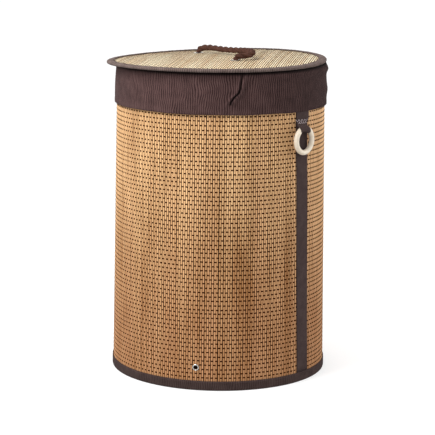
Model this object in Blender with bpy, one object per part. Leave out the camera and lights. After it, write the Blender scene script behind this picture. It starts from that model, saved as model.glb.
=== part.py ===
"""Round laundry hamper: bamboo slat wall, removable fabric liner with a turned-down cuff, loose lid.

Metres, +Z up. The origin is the centre of the underside. The two wall seams, with their straps and
rings, face +X and -X. Every turned piece has the same facets, so nested pieces keep an even gap.
"""

from collections import namedtuple
from math import atan2, cos, pi, radians, sin, tan

import bmesh
import bpy
from mathutils import Matrix, Vector
from mathutils.geometry import interpolate_bezier

MM = 0.001

# Overall sizes
RIM_RADIUS = 200 * MM  # outer face of the wall mat at the rim
FLARE = 8 * MM  # how much wider the wall is at the floor
RIM_HEIGHT = 593 * MM  # top of the cuff's fold
SEGMENTS = 60  # facets round the body

# Cloth, mat and the gaps between pieces
GAP = 0.3 * MM  # between pieces that touch
SEWN_GAP = 0.5 * MM  # between pieces that cross at an angle
CLOTH = 0.8 * MM
TAPE = 1.4 * MM  # folded edge tape
MAT_THICKNESS = 1.5 * MM

# Wall
SEAM_WIDTH = 35 * MM
SEAM_THICKNESS = 0.7 * MM
HOOP_THICKNESS = 2.5 * MM
HOOP_HEIGHT = 10 * MM
BOTTOM_TAPE_HEIGHT = 18.5 * MM
TOP_TAPE_HEIGHT = 16 * MM
TOP_TAPE_DROP = 3 * MM  # from the cuff's fold down to the top tape

# Eyelet in the wall
EYELET_ANGLE = radians(-60.6)
EYELET_HEIGHT = 44 * MM
EYELET_BORE_RADIUS = 4 * MM
EYELET_FLANGE_RADIUS = 6 * MM
EYELET_WALL = 0.5 * MM
EYELET_SEGMENTS = 20

# Floor
BASE_CLOTH = 1 * MM
FLOOR_BOARD = 3.5 * MM
LINER_FLOOR_GAP = 1.2 * MM  # play between the liner's bottom and the floor tabs
TAB_WIDTH = 25 * MM
TAB_LENGTH = 70 * MM

# Ring handles
RING_TUBE_RADIUS = 5.15 * MM
RING_RADIUS = 23.1 * MM  # to the middle of its section
RING_DROP = 31 * MM  # from the cuff's lower edge to the middle of the ring's section in its loop
RING_STEPS = 32
RING_SECTION_STEPS = 10
STRAP_WIDTH = 34 * MM
STRAP_LOOP_WIDTH = 12 * MM
STRAP_HIDDEN = 9 * MM  # length of strap under the cuff
STRAP_SHOULDER = 8 * MM  # height above the loop where the strap starts to narrow
LOOP_EASE = 0.7 * MM  # play of the ring in the strap's loop
LOOP_TURN = radians(305)  # how far the strap goes round the ring
LOOP_STEPS = 14

# Liner
LINER_CLEARANCE = 0.9 * MM  # to the tightest ring that the liner is lifted through
CUFF_DROP = 72.5 * MM
CUFF_EASE = 1 * MM  # room between the cuff and the straps under it
CUFF_TIGHT_OFFSET = 1.4 * MM  # the same just under the fold
CUFF_LOOSE_HEIGHT = 35 * MM  # how far up the cuff stays loose
CUFF_INNER_LEG = 20 * MM

# Lid
LID_OVERHANG = 12 * MM
LID_SHIFT = 8.5 * MM  # how far off centre the lid lies
LID_TILT = radians(1.64)
LID_HEADING = radians(41)  # compass direction in which the lid rises, opposite to its shift
LID_THICKNESS = 6 * MM
LID_TAPE_WIDTH = 15 * MM
LID_TAPE_FLAT = 3.5 * MM  # from the lid's edge to where the tape lies flat
LID_TAPE_ROUND = (0.8 * MM, 1 * MM)  # corner of the rounded edge, in from the side and the face
LID_TAPE_SINK = 0.2 * MM  # how far the tape's upper inner edge sinks
LID_TAPE_RISE = 1.4 * MM  # how far its lower inner edge rises to the mat
LID_CROWN = 5 * MM
LID_HOOP_RADIUS = 1.5 * MM
LID_HOOP_GAP = 1.1 * MM  # inside the folded edge
LID_REST_GAP = 0.5 * MM

# Rope handle
ROPE_RADIUS = 5 * MM
HANDLE_HEADING = radians(156)  # direction from hole A to hole B
LID_EYELET_CLEARANCE = 0.4 * MM
LID_EYELET_WALL = 0.8 * MM
LID_EYELET_FLANGE = 3.3 * MM
KNOT_RADIUS = 10 * MM
KNOT_HEIGHT = 14 * MM
ROPE_STEPS = 26
# Rope from the pivot over hole A to the pivot over hole B: along the line of the holes from its
# middle, to the left of that line, and up from the pivots. It lies on the right of the line.
ROPE_ROUTE = (
    (-85, 0, 0),
    (-88, -11, 0.6),
    (-89, -23, 1.2),
    (-86, -34, 3.0),
    (-75, -41, 5.0),
    (-58, -43.5, 5.9),
    (-34, -42, 5.3),
    (-8, -37, 4.1),
    (18, -29.5, 3.6),
    (44, -21, 4.4),
    (64, -13.5, 5.2),
    (78, -6.5, 3.8),
    (85, 0, 0),
)
HANDLE_SPAN = (ROPE_ROUTE[-1][0] - ROPE_ROUTE[0][0]) * MM  # between the two holes

Finish = namedtuple("Finish", "color roughness metallic")
BAMBOO = Finish((0.48, 0.27, 0.11), 0.55, 0.0)
LINER_CLOTH = Finish((0.045, 0.028, 0.024), 0.9, 0.0)
SEAM_CLOTH = Finish((0.055, 0.042, 0.038), 0.85, 0.0)
TAPE_CLOTH = Finish((0.060, 0.046, 0.042), 0.85, 0.0)
ROPE_FIBRE = Finish((0.075, 0.035, 0.022), 0.9, 0.0)
PALE_WOOD = Finish((0.78, 0.66, 0.48), 0.4, 0.0)
NICKEL = Finish((0.62, 0.60, 0.56), 0.3, 1.0)
SPRING_STEEL = Finish((0.30, 0.30, 0.31), 0.4, 1.0)
BOARD = Finish((0.20, 0.14, 0.09), 0.9, 0.0)


def wall_radius(z, offset=0.0):
    """Radius of the wall mat's outer face at height z, moved out by offset."""
    return RIM_RADIUS + FLARE * (1 - z / RIM_HEIGHT) + offset


# Radial layers, as offsets from the mat's outer face
MAT_INNER = -MAT_THICKNESS
HOOP_OUTER = MAT_INNER - GAP
HOOP_INNER = HOOP_OUTER - HOOP_THICKNESS
LEG_OUTER = HOOP_INNER - GAP  # inner leg of the edge tapes

STRAP_OFFSET = GAP + SEAM_THICKNESS + GAP + CLOTH / 2  # middle of a strap's tail
CUFF_LOOSE_OFFSET = STRAP_OFFSET + CLOTH / 2 + CUFF_EASE

# Heights
MAT_BOTTOM = TAPE + GAP
CUFF_FOLD_UNDER = RIM_HEIGHT - CLOTH
TOP_TAPE_TOP = CUFF_FOLD_UNDER - TOP_TAPE_DROP
MAT_TOP = TOP_TAPE_TOP - CLOTH - GAP
TOP_TAPE_BOTTOM = TOP_TAPE_TOP - TOP_TAPE_HEIGHT
CUFF_BOTTOM = RIM_HEIGHT - CUFF_DROP
RING_TOP_HEIGHT = CUFF_BOTTOM - RING_DROP
BOARD_BOTTOM = BASE_CLOTH + GAP
COVER_BOTTOM = BOARD_BOTTOM + FLOOR_BOARD + GAP
TAB_BOTTOM = COVER_BOTTOM + CLOTH + GAP
LINER_FLOOR = TAB_BOTTOM + CLOTH + LINER_FLOOR_GAP

# What is lifted out passes the tighter of the two edge tapes
NECK_RADIUS = min(
    wall_radius(TOP_TAPE_TOP, LEG_OUTER - CLOTH),
    wall_radius(0, LEG_OUTER - TAPE),
)
LINER_RADIUS = NECK_RADIUS - LINER_CLEARANCE

# Lid, in its own frame: origin on its underside, at its centre
LID_RADIUS = RIM_RADIUS + LID_OVERHANG
LID_TAPE_INNER = LID_RADIUS - LID_TAPE_WIDTH
LID_MAT_EDGE = LID_THICKNESS / 2
LID_HOOP_CENTRE = LID_RADIUS - CLOTH - LID_HOOP_GAP - LID_HOOP_RADIUS
LID_MAT_RADIUS = LID_HOOP_CENTRE - LID_HOOP_RADIUS - GAP
CUFF_TOP_RADIUS = wall_radius(RIM_HEIGHT, CUFF_TIGHT_OFFSET + CLOTH)
LID_HEIGHT = RIM_HEIGHT + LID_REST_GAP + tan(LID_TILT) * (CUFF_TOP_RADIUS - LID_SHIFT)


def lid_mat_height(radius):
    """Height of the crowned mat's underside above the lid's underside."""
    return LID_MAT_EDGE + LID_CROWN * (1 - (radius / LID_TAPE_INNER) ** 2)


HOLE_MAT_TOP = lid_mat_height(HANDLE_SPAN / 2) + MAT_THICKNESS
LID_EYELET_BORE = ROPE_RADIUS + LID_EYELET_CLEARANCE
LID_EYELET_OUTER = LID_EYELET_BORE + LID_EYELET_WALL
PIVOT_HEIGHT = HOLE_MAT_TOP + SEWN_GAP + LID_EYELET_WALL + LID_EYELET_CLEARANCE + ROPE_RADIUS

# Ring straps: the loop is wide enough for the bend of the ring inside it
RING_BEND = RING_RADIUS - (RING_RADIUS**2 - (STRAP_LOOP_WIDTH / 2) ** 2) ** 0.5
LOOP_RADIUS = RING_TUBE_RADIUS + RING_BEND + LOOP_EASE + CLOTH / 2
LOOP_OFFSET = STRAP_OFFSET + LOOP_RADIUS


def clear_scene():
    for obj in list(bpy.data.objects):
        bpy.data.objects.remove(obj, do_unlink=True)


def material(name, finish):
    """One Principled material for one piece."""
    made = bpy.data.materials.new(name)
    made.use_nodes = True
    shader = made.node_tree.nodes["Principled BSDF"]
    shader.inputs["Base Color"].default_value = (*finish.color, 1)
    shader.inputs["Roughness"].default_value = finish.roughness
    shader.inputs["Metallic"].default_value = finish.metallic
    return made


def add_object(name, mesh, finish):
    obj = bpy.data.objects.new(name, mesh)
    obj.data.materials.append(material(name, finish))
    bpy.context.collection.objects.link(obj)
    return obj


def mesh_object(name, bm, finish):
    """Makes an object from bm, with its faces turned outwards and its round faces shaded smooth."""
    bmesh.ops.remove_doubles(bm, verts=bm.verts, dist=1e-7)
    bmesh.ops.recalc_face_normals(bm, faces=bm.faces)
    mesh = bpy.data.meshes.new(name)
    bm.to_mesh(mesh)
    bm.free()
    mesh.shade_smooth()
    mesh.set_sharp_from_angle(angle=radians(35))
    return add_object(name, mesh, finish)


def turned(name, profile, finish, segments=SEGMENTS):
    """Turns a closed outline of (radius, height) points all the way round Z."""
    bm = bmesh.new()
    points = [bm.verts.new((r, 0, z)) for r, z in profile]
    edges = [bm.edges.new(pair) for pair in zip(points, points[1:] + points[:1])]
    bmesh.ops.spin(
        bm,
        geom=points + edges,
        cent=(0, 0, 0),
        axis=(0, 0, 1),
        angle=2 * pi,
        steps=segments,
        use_merge=True,
    )
    return mesh_object(name, bm, finish)


def swept(name, profile, finish, middle, half_angle, steps):
    """Turns a closed outline part of the way round Z, centred on the angle middle, and caps its ends."""
    bm = bmesh.new()
    outline = bm.faces.new([bm.verts.new((r, 0, z)) for r, z in profile])
    bmesh.ops.rotate(bm, verts=bm.verts, matrix=Matrix.Rotation(middle - half_angle, 3, "Z"))
    bmesh.ops.spin(
        bm,
        geom=[outline],
        cent=(0, 0, 0),
        axis=(0, 0, 1),
        angle=2 * half_angle,
        steps=steps,
    )
    return mesh_object(name, bm, finish)


def shell(outer, inner, bottom, top):
    """Outline of a wall layer between two offsets, which follows the wall's flare."""
    return [
        (wall_radius(bottom, inner), bottom),
        (wall_radius(bottom, outer), bottom),
        (wall_radius(top, outer), top),
        (wall_radius(top, inner), top),
    ]


def disc(name, radius, bottom, thickness, finish):
    """Flat round plate."""
    bm = bmesh.new()
    bmesh.ops.create_cone(
        bm, cap_ends=True, segments=SEGMENTS, radius1=radius, radius2=radius, depth=thickness
    )
    bmesh.ops.translate(bm, verts=bm.verts, vec=(0, 0, bottom + thickness / 2))
    return mesh_object(name, bm, finish)


def cut(target, cutter):
    """Cuts cutter out of target, and hides it."""
    cutter.hide_render = True
    cutter.display_type = "WIRE"
    boolean = target.modifiers.new("cut", "BOOLEAN")
    boolean.operation = "DIFFERENCE"
    boolean.solver = "EXACT"
    boolean.object = cutter


def hole_cutter(name, radius, length, segments):
    """Round bar on Z, centred on its own origin."""
    bm = bmesh.new()
    bmesh.ops.create_cone(
        bm, cap_ends=True, segments=segments, radius1=radius, radius2=radius, depth=length
    )
    return mesh_object(name, bm, NICKEL)


def wall_frame(angle, height):
    """Frame on the wall mat's outer face, with its Z pointing out along the wall's normal."""
    lean = atan2(FLARE, RIM_HEIGHT)
    turn = Matrix.Rotation(angle, 4, "Z") @ Matrix.Rotation(pi / 2 - lean, 4, "Y")
    radius = wall_radius(height) * cos(pi / SEGMENTS)
    return Matrix.Translation((radius * cos(angle), radius * sin(angle), height)) @ turn


def build_wall():
    """Two half mats, joined at +X and -X by a strip outside and one inside."""
    half_gap = GAP / 2 / RIM_RADIUS
    profile = shell(0, MAT_INNER, MAT_BOTTOM, MAT_TOP)
    mats = {}
    for side, middle in (("front", -pi / 2), ("rear", pi / 2)):
        mats[side] = swept(
            f"wall_mat_{side}", profile, BAMBOO, middle, pi / 2 - half_gap, SEGMENTS // 2
        )
    half_angle = SEAM_WIDTH / 2 / wall_radius(RIM_HEIGHT / 2)
    low = BOTTOM_TAPE_HEIGHT + GAP
    high = TOP_TAPE_BOTTOM - GAP
    for side, middle in (("right", 0), ("left", pi)):
        outer = shell(GAP + SEAM_THICKNESS, GAP, low, high)
        swept(f"seam_strip_{side}", outer, SEAM_CLOTH, middle, half_angle, 2)
        inner = shell(HOOP_OUTER, HOOP_OUTER - SEAM_THICKNESS, low, high)
        swept(f"seam_backing_{side}", inner, SEAM_CLOTH, middle, half_angle, 2)
    return mats["front"]


def build_wall_edges():
    """Folded tapes over the mat's two edges, each with a spring hoop inside its fold."""
    turned(
        "bottom_binding",
        [
            (wall_radius(0, LEG_OUTER - TAPE), 0),
            (wall_radius(0, GAP + TAPE), 0),
            (wall_radius(BOTTOM_TAPE_HEIGHT, GAP + TAPE), BOTTOM_TAPE_HEIGHT),
            (wall_radius(BOTTOM_TAPE_HEIGHT, GAP), BOTTOM_TAPE_HEIGHT),
            (wall_radius(TAPE, GAP), TAPE),
            (wall_radius(TAPE, LEG_OUTER), TAPE),
            (wall_radius(BOTTOM_TAPE_HEIGHT, LEG_OUTER), BOTTOM_TAPE_HEIGHT),
            (wall_radius(BOTTOM_TAPE_HEIGHT, LEG_OUTER - TAPE), BOTTOM_TAPE_HEIGHT),
        ],
        TAPE_CLOTH,
    )
    low = MAT_BOTTOM + GAP
    turned("bottom_hoop", shell(HOOP_OUTER, HOOP_INNER, low, low + HOOP_HEIGHT), SPRING_STEEL)
    fold = TOP_TAPE_TOP - CLOTH
    turned(
        "top_binding",
        [
            (wall_radius(TOP_TAPE_BOTTOM, LEG_OUTER - CLOTH), TOP_TAPE_BOTTOM),
            (wall_radius(TOP_TAPE_BOTTOM, LEG_OUTER), TOP_TAPE_BOTTOM),
            (wall_radius(fold, LEG_OUTER), fold),
            (wall_radius(fold, GAP), fold),
            (wall_radius(TOP_TAPE_BOTTOM, GAP), TOP_TAPE_BOTTOM),
            (wall_radius(TOP_TAPE_BOTTOM, GAP + CLOTH), TOP_TAPE_BOTTOM),
            (wall_radius(TOP_TAPE_TOP, GAP + CLOTH), TOP_TAPE_TOP),
            (wall_radius(TOP_TAPE_TOP, LEG_OUTER - CLOTH), TOP_TAPE_TOP),
        ],
        TAPE_CLOTH,
    )
    high = MAT_TOP - GAP
    turned("top_hoop", shell(HOOP_OUTER, HOOP_INNER, high - HOOP_HEIGHT, high), SPRING_STEEL)


def build_wall_eyelet(front_mat):
    """Metal eyelet near the floor: a flanged barrel from outside and a washer inside."""
    frame = wall_frame(EYELET_ANGLE, EYELET_HEIGHT)
    barrel = EYELET_BORE_RADIUS + EYELET_WALL
    washer_face = -(MAT_THICKNESS + SEWN_GAP)
    end = washer_face - SEAM_THICKNESS
    eyelet = turned(
        "wall_eyelet",
        [
            (EYELET_BORE_RADIUS, end),
            (barrel, end),
            (barrel, SEWN_GAP),
            (EYELET_FLANGE_RADIUS, SEWN_GAP),
            (EYELET_FLANGE_RADIUS - EYELET_WALL, SEWN_GAP + SEAM_THICKNESS),
            (EYELET_BORE_RADIUS, SEWN_GAP + SEAM_THICKNESS),
        ],
        NICKEL,
        EYELET_SEGMENTS,
    )
    washer = turned(
        "wall_eyelet_washer",
        [
            (barrel + GAP, end),
            (EYELET_FLANGE_RADIUS, end),
            (EYELET_FLANGE_RADIUS, washer_face),
            (barrel + GAP, washer_face),
        ],
        NICKEL,
        EYELET_SEGMENTS,
    )
    cutter = hole_cutter("eyelet_hole", barrel + GAP, 6 * MAT_THICKNESS, EYELET_SEGMENTS)
    for piece in (eyelet, washer, cutter):
        piece.matrix_world = frame
    cut(front_mat, cutter)


def build_floor():
    """Base cloth sewn inside the bottom tape, and on it a loose stiff board with a cloth top and two tabs."""
    cloth_radius = wall_radius(0, LEG_OUTER - TAPE - GAP)
    disc("base_cloth", cloth_radius, 0, BASE_CLOTH, TAPE_CLOTH)
    disc("floor_board", LINER_RADIUS, BOARD_BOTTOM, FLOOR_BOARD, BOARD)
    disc("floor_cover", LINER_RADIUS, COVER_BOTTOM, CLOTH, LINER_CLOTH)
    for side, way in (("front", -1), ("rear", 1)):
        bm = bmesh.new()
        bmesh.ops.create_cube(bm, size=1)
        bmesh.ops.scale(bm, verts=bm.verts, vec=(TAB_WIDTH, TAB_LENGTH, CLOTH))
        tab = mesh_object(f"floor_tab_{side}", bm, TAPE_CLOTH)
        tab.location = (0, way * (LINER_RADIUS - TAB_LENGTH), TAB_BOTTOM + CLOTH / 2)


def strap_path():
    """Middle line of the strap as (offset from the wall, height, width), from under the cuff round the ring."""
    top = CUFF_BOTTOM + STRAP_HIDDEN
    shoulder = RING_TOP_HEIGHT + LOOP_RADIUS + STRAP_SHOULDER
    path = [
        (STRAP_OFFSET, top, STRAP_WIDTH),
        (STRAP_OFFSET, shoulder, STRAP_WIDTH),
    ]
    for step in range(LOOP_STEPS + 1):
        angle = pi + LOOP_TURN * step / LOOP_STEPS
        offset = LOOP_OFFSET + LOOP_RADIUS * cos(angle)
        path.append((offset, RING_TOP_HEIGHT + LOOP_RADIUS * sin(angle), STRAP_LOOP_WIDTH))
    return path


def build_strap(side, turn):
    """Ribbon that hangs from under the cuff and holds the ring in a loop."""
    path = strap_path()
    bm = bmesh.new()
    sections = []
    for index, (offset, height, width) in enumerate(path):
        before = path[max(index - 1, 0)]
        after = path[min(index + 1, len(path) - 1)]
        along = Vector((after[0] - before[0], after[1] - before[1])).normalized()
        across = Vector((along.y, -along.x)) * CLOTH / 2
        corners = []
        for way, share in ((1, 1), (1, 0), (1, -1), (-1, -1), (-1, 0), (-1, 1)):
            radius = wall_radius(height, offset + way * across.x)
            bend = share * width / 2 / radius
            place = (radius * cos(bend), radius * sin(bend), height + way * across.y)
            corners.append(bm.verts.new(place))
        sections.append(corners)
    for first, second in zip(sections, sections[1:]):
        for k, corner in enumerate(first):
            after = (k + 1) % len(first)
            bm.faces.new((corner, first[after], second[after], second[k]))
    bm.faces.new(sections[0])
    bm.faces.new(sections[-1])
    strap = mesh_object(f"ring_strap_{side}", bm, SEAM_CLOTH)
    strap.rotation_euler.z = turn


def build_ring(side, turn):
    """Wooden ring, with its origin on the line it swings about, in the strap's loop."""
    bm = bmesh.new()
    section = bmesh.ops.create_circle(
        bm,
        segments=RING_SECTION_STEPS,
        radius=RING_TUBE_RADIUS,
        matrix=Matrix.Translation((0, 0, RING_RADIUS)),
    )
    edges = list({edge for vert in section["verts"] for edge in vert.link_edges})
    bmesh.ops.rotate(
        bm,
        verts=section["verts"],
        cent=(0, 0, RING_RADIUS),
        matrix=Matrix.Rotation(pi / 2, 3, "Y") @ Matrix.Rotation(pi / 2, 3, "Z"),
    )
    bmesh.ops.rotate(bm, verts=bm.verts, matrix=Matrix.Rotation(pi / 2, 3, "Z"))
    bmesh.ops.spin(
        bm,
        geom=section["verts"] + edges,
        cent=(0, 0, 0),
        axis=(1, 0, 0),
        angle=2 * pi,
        steps=RING_STEPS,
        use_merge=True,
    )
    bmesh.ops.translate(bm, verts=bm.verts, vec=(0, 0, -RING_RADIUS))
    ring = mesh_object(f"handle_ring_{side}", bm, PALE_WOOD)
    radius = wall_radius(RING_TOP_HEIGHT, LOOP_OFFSET)
    ring.location = (radius * cos(turn), radius * sin(turn), RING_TOP_HEIGHT)
    ring.rotation_euler.z = turn


def lid_underside(x, y):
    """Height of the tilted lid's underside over the point x, y."""
    heading = Vector((cos(LID_HEADING), sin(LID_HEADING)))
    return LID_HEIGHT + tan(LID_TILT) * (Vector((x, y)).dot(heading) + LID_SHIFT)


def build_liner():
    """Cloth bag that lifts out: bottom, side, and a cuff folded over the rim and down outside."""
    inner = LINER_RADIUS - CLOTH
    disc("liner_bottom", LINER_RADIUS, LINER_FLOOR, CLOTH, LINER_CLOTH)
    low = LINER_FLOOR + CLOTH + GAP
    leg_bottom = RIM_HEIGHT - CUFF_INNER_LEG
    turned(
        "liner_side",
        [
            (inner, low),
            (LINER_RADIUS, low),
            (LINER_RADIUS, leg_bottom - GAP),
            (inner, leg_bottom - GAP),
        ],
        LINER_CLOTH,
    )
    loose = CUFF_BOTTOM + CUFF_LOOSE_HEIGHT
    cuff = turned(
        "liner_cuff",
        [
            (inner, leg_bottom),
            (LINER_RADIUS, leg_bottom),
            (LINER_RADIUS, CUFF_FOLD_UNDER),
            (wall_radius(CUFF_FOLD_UNDER, CUFF_TIGHT_OFFSET), CUFF_FOLD_UNDER),
            (wall_radius(loose, CUFF_LOOSE_OFFSET), loose),
            (wall_radius(CUFF_BOTTOM, CUFF_LOOSE_OFFSET), CUFF_BOTTOM),
            (wall_radius(CUFF_BOTTOM, CUFF_LOOSE_OFFSET + CLOTH), CUFF_BOTTOM),
            (wall_radius(loose, CUFF_LOOSE_OFFSET + CLOTH), loose),
            (CUFF_TOP_RADIUS, RIM_HEIGHT - CLOTH),
            (CUFF_TOP_RADIUS - CLOTH, RIM_HEIGHT),
            (inner + CLOTH, RIM_HEIGHT),
            (inner, RIM_HEIGHT - CLOTH),
        ],
        LINER_CLOTH,
    )
    for vert in cuff.data.vertices:
        if vert.co.z > CUFF_FOLD_UNDER - GAP:
            vert.co.z += lid_underside(vert.co.x, vert.co.y) - LID_REST_GAP - RIM_HEIGHT


def lid_frame():
    """Empty that holds every piece of the lid: shifted off centre and tilted up towards its heading."""
    frame = bpy.data.objects.new("lid_frame", None)
    bpy.context.collection.objects.link(frame)
    axis = Vector((-sin(LID_HEADING), cos(LID_HEADING), 0))
    shift = Vector((cos(LID_HEADING), sin(LID_HEADING), 0)) * -LID_SHIFT
    place = Matrix.Translation(shift + Vector((0, 0, LID_HEIGHT)))
    frame.matrix_world = place @ Matrix.Rotation(-LID_TILT, 4, axis)
    return frame


def hole_places():
    """The two rope holes, in the lid's frame."""
    along = Vector((cos(HANDLE_HEADING), sin(HANDLE_HEADING), 0)) * HANDLE_SPAN / 2
    return {"a": -along, "b": along}


def build_lid_disc():
    """Crowned mat held in a folded tape with a hoop inside its edge."""
    radii = [LID_MAT_RADIUS * share for share in (0.3, 0.6, 0.85, 1)]
    under = [(r, lid_mat_height(r)) for r in radii]
    over = [(r, z + MAT_THICKNESS) for r, z in reversed(under)]
    middle = [(0, LID_MAT_EDGE + LID_CROWN + MAT_THICKNESS), (0, LID_MAT_EDGE + LID_CROWN)]
    mat = turned("lid_mat", under + over + middle, BAMBOO)
    top = LID_THICKNESS
    flat = LID_RADIUS - LID_TAPE_FLAT
    corner = LID_RADIUS - LID_TAPE_ROUND[0]
    turned(
        "lid_binding",
        [
            (LID_TAPE_INNER, LID_TAPE_RISE),
            (flat, 0),
            (corner, LID_TAPE_ROUND[1]),
            (LID_RADIUS, top / 2),
            (corner, top - LID_TAPE_ROUND[1]),
            (flat, top),
            (LID_TAPE_INNER, top - LID_TAPE_SINK),
            (LID_TAPE_INNER, top - LID_TAPE_SINK - CLOTH),
            (flat, top - CLOTH),
            (LID_RADIUS - CLOTH, top / 2),
            (flat, CLOTH),
            (LID_TAPE_INNER, LID_TAPE_RISE + CLOTH),
        ],
        TAPE_CLOTH,
    )
    section = [
        (
            LID_HOOP_CENTRE + LID_HOOP_RADIUS * cos(radians(60 * k)),
            LID_THICKNESS / 2 + LID_HOOP_RADIUS * sin(radians(60 * k)),
        )
        for k in range(6)
    ]
    turned("lid_hoop", section, SPRING_STEEL)
    return mat


def build_lid_holes(mat):
    """In each rope hole an eyelet, and through it the rope's end with its stopper knot underneath."""
    low = HOLE_MAT_TOP - MAT_THICKNESS - SEWN_GAP
    high = HOLE_MAT_TOP + SEWN_GAP
    flange = LID_EYELET_OUTER + LID_EYELET_FLANGE
    knot_top = low - LID_EYELET_WALL - GAP
    for label, place in hole_places().items():
        eyelet = turned(
            f"lid_eyelet_{label}",
            [
                (LID_EYELET_BORE, low - LID_EYELET_WALL),
                (flange, low - LID_EYELET_WALL),
                (flange, low),
                (LID_EYELET_OUTER, low),
                (LID_EYELET_OUTER, high),
                (flange, high),
                (flange, high + LID_EYELET_WALL),
                (LID_EYELET_BORE, high + LID_EYELET_WALL),
            ],
            NICKEL,
            EYELET_SEGMENTS,
        )
        knot_middle = knot_top - KNOT_HEIGHT / 2
        profile = [(0, knot_top - KNOT_HEIGHT)]
        for angle in (-60, -25, 10, 45):
            lift = KNOT_HEIGHT / 2 * sin(radians(angle))
            profile.append((KNOT_RADIUS * cos(radians(angle)), knot_middle + lift))
        stem_top = PIVOT_HEIGHT - ROPE_RADIUS - GAP
        profile += [(ROPE_RADIUS, knot_top), (ROPE_RADIUS, stem_top), (0, stem_top)]
        knot = turned(f"rope_knot_{label}", profile, ROPE_FIBRE, 16)
        cutter = hole_cutter(
            f"rope_hole_{label}", LID_EYELET_OUTER + GAP, 6 * MAT_THICKNESS, EYELET_SEGMENTS
        )
        for piece in (eyelet, knot, cutter):
            piece.location = place
        cutter.location.z = HOLE_MAT_TOP
        cut(mat, cutter)
        yield from (eyelet, knot, cutter)


def smooth_route(points, steps):
    """Evenly spaced points on a smooth curve through the given ones."""
    knots = [Vector(point) * MM for point in points]
    fine = []
    for index in range(len(knots) - 1):
        before = knots[max(index - 1, 0)]
        start, end = knots[index], knots[index + 1]
        after = knots[min(index + 2, len(knots) - 1)]
        fine += interpolate_bezier(start, start + (end - before) / 6, end - (after - start) / 6, end, 12)
    lengths = [0.0]
    for first, second in zip(fine, fine[1:]):
        lengths.append(lengths[-1] + (second - first).length)
    route = []
    index = 0
    for step in range(steps + 1):
        wanted = lengths[-1] * step / steps
        while index < len(fine) - 2 and lengths[index + 1] < wanted:
            index += 1
        stretch = lengths[index + 1] - lengths[index]
        share = (wanted - lengths[index]) / stretch if stretch else 0
        route.append(fine[index].lerp(fine[index + 1], share))
    return route


def build_rope():
    """Rope between the two pivots, lying on its side, with round ends that turn over the stems."""
    route = smooth_route(ROPE_ROUTE, ROPE_STEPS)
    points = [(point, 1.0) for point in route]
    start_way = (route[0] - route[1]).normalized()
    end_way = (route[-1] - route[-2]).normalized()
    for angle in (30, 60, 85):
        reach = ROPE_RADIUS * sin(radians(angle))
        share = cos(radians(angle))
        points.insert(0, (route[0] + start_way * reach, share))
        points.append((route[-1] + end_way * reach, share))
    curve = bpy.data.curves.new("handle_rope", "CURVE")
    curve.dimensions = "3D"
    curve.bevel_depth = ROPE_RADIUS
    curve.bevel_resolution = 3
    curve.use_fill_caps = True
    spline = curve.splines.new("POLY")
    spline.points.add(len(points) - 1)
    for target, (point, share) in zip(spline.points, points):
        target.co = (*point, 1)
        target.radius = share
    rope = add_object("handle_rope", curve, ROPE_FIBRE)
    rope.location = (0, 0, PIVOT_HEIGHT)
    rope.rotation_euler.z = HANDLE_HEADING
    return rope


def build_lid():
    frame = lid_frame()
    mat = build_lid_disc()
    pieces = [mat, bpy.data.objects["lid_binding"], bpy.data.objects["lid_hoop"]]
    pieces += build_lid_holes(mat)
    pieces.append(build_rope())
    for piece in pieces:
        piece.parent = frame


def main():
    clear_scene()
    front_mat = build_wall()
    build_wall_edges()
    build_wall_eyelet(front_mat)
    build_floor()
    for side, turn in (("right", 0), ("left", pi)):
        build_strap(side, turn)
        build_ring(side, turn)
    build_liner()
    build_lid()


main()
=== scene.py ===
"""Looks of a round bamboo laundry hamper: slat mats, cloth liner and cuff, lid, rope and rings.

Metres, +Z up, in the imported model's own frame. A piece sits at the origin, and its mesh holds its
place. Angles round the hamper are counted from +X, where the right-hand seam and ring are.
"""

import logging
import math
import random
from dataclasses import dataclass
from enum import Enum
from typing import Callable, Iterator, Sequence

import bmesh
import bpy
from mathutils import Matrix, Vector, noise

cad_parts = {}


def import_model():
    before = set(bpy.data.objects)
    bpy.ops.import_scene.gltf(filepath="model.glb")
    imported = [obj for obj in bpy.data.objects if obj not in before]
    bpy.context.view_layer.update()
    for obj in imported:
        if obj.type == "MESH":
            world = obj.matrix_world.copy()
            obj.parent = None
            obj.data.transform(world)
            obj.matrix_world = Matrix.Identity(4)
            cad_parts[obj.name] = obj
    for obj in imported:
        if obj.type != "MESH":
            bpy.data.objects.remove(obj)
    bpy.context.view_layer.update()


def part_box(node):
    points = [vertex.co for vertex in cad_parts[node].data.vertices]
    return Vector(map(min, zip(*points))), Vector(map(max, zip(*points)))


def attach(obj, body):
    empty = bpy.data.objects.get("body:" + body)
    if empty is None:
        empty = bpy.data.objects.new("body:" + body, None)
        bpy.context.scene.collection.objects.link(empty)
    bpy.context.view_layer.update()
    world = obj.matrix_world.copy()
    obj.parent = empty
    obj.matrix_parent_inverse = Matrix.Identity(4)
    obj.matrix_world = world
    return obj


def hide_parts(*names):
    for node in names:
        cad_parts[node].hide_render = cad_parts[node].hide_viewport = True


LOG = logging.getLogger("hamper")
MM = 0.001
STITCH = 2.1 * MM
Color = tuple[float, float, float]
Outline = list[tuple[float, float]]


class Body(Enum):
    """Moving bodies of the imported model."""

    BASKET = "basket"
    LINER = "liner"
    LID = "lid"
    ROPE = "rope_handle"
    RING_RIGHT = "ring_right"
    RING_LEFT = "ring_left"


class Slot(Enum):
    """Material slots of the record."""

    BAMBOO = "bamboo"
    LINER = "liner_cloth"
    RIBBON = "seam_ribbon"
    TAPE = "edge_tape"
    ROPE = "rope"
    WOOD = "pale_wood"
    NICKEL = "nickel"
    STEEL = "spring_steel"


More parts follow.
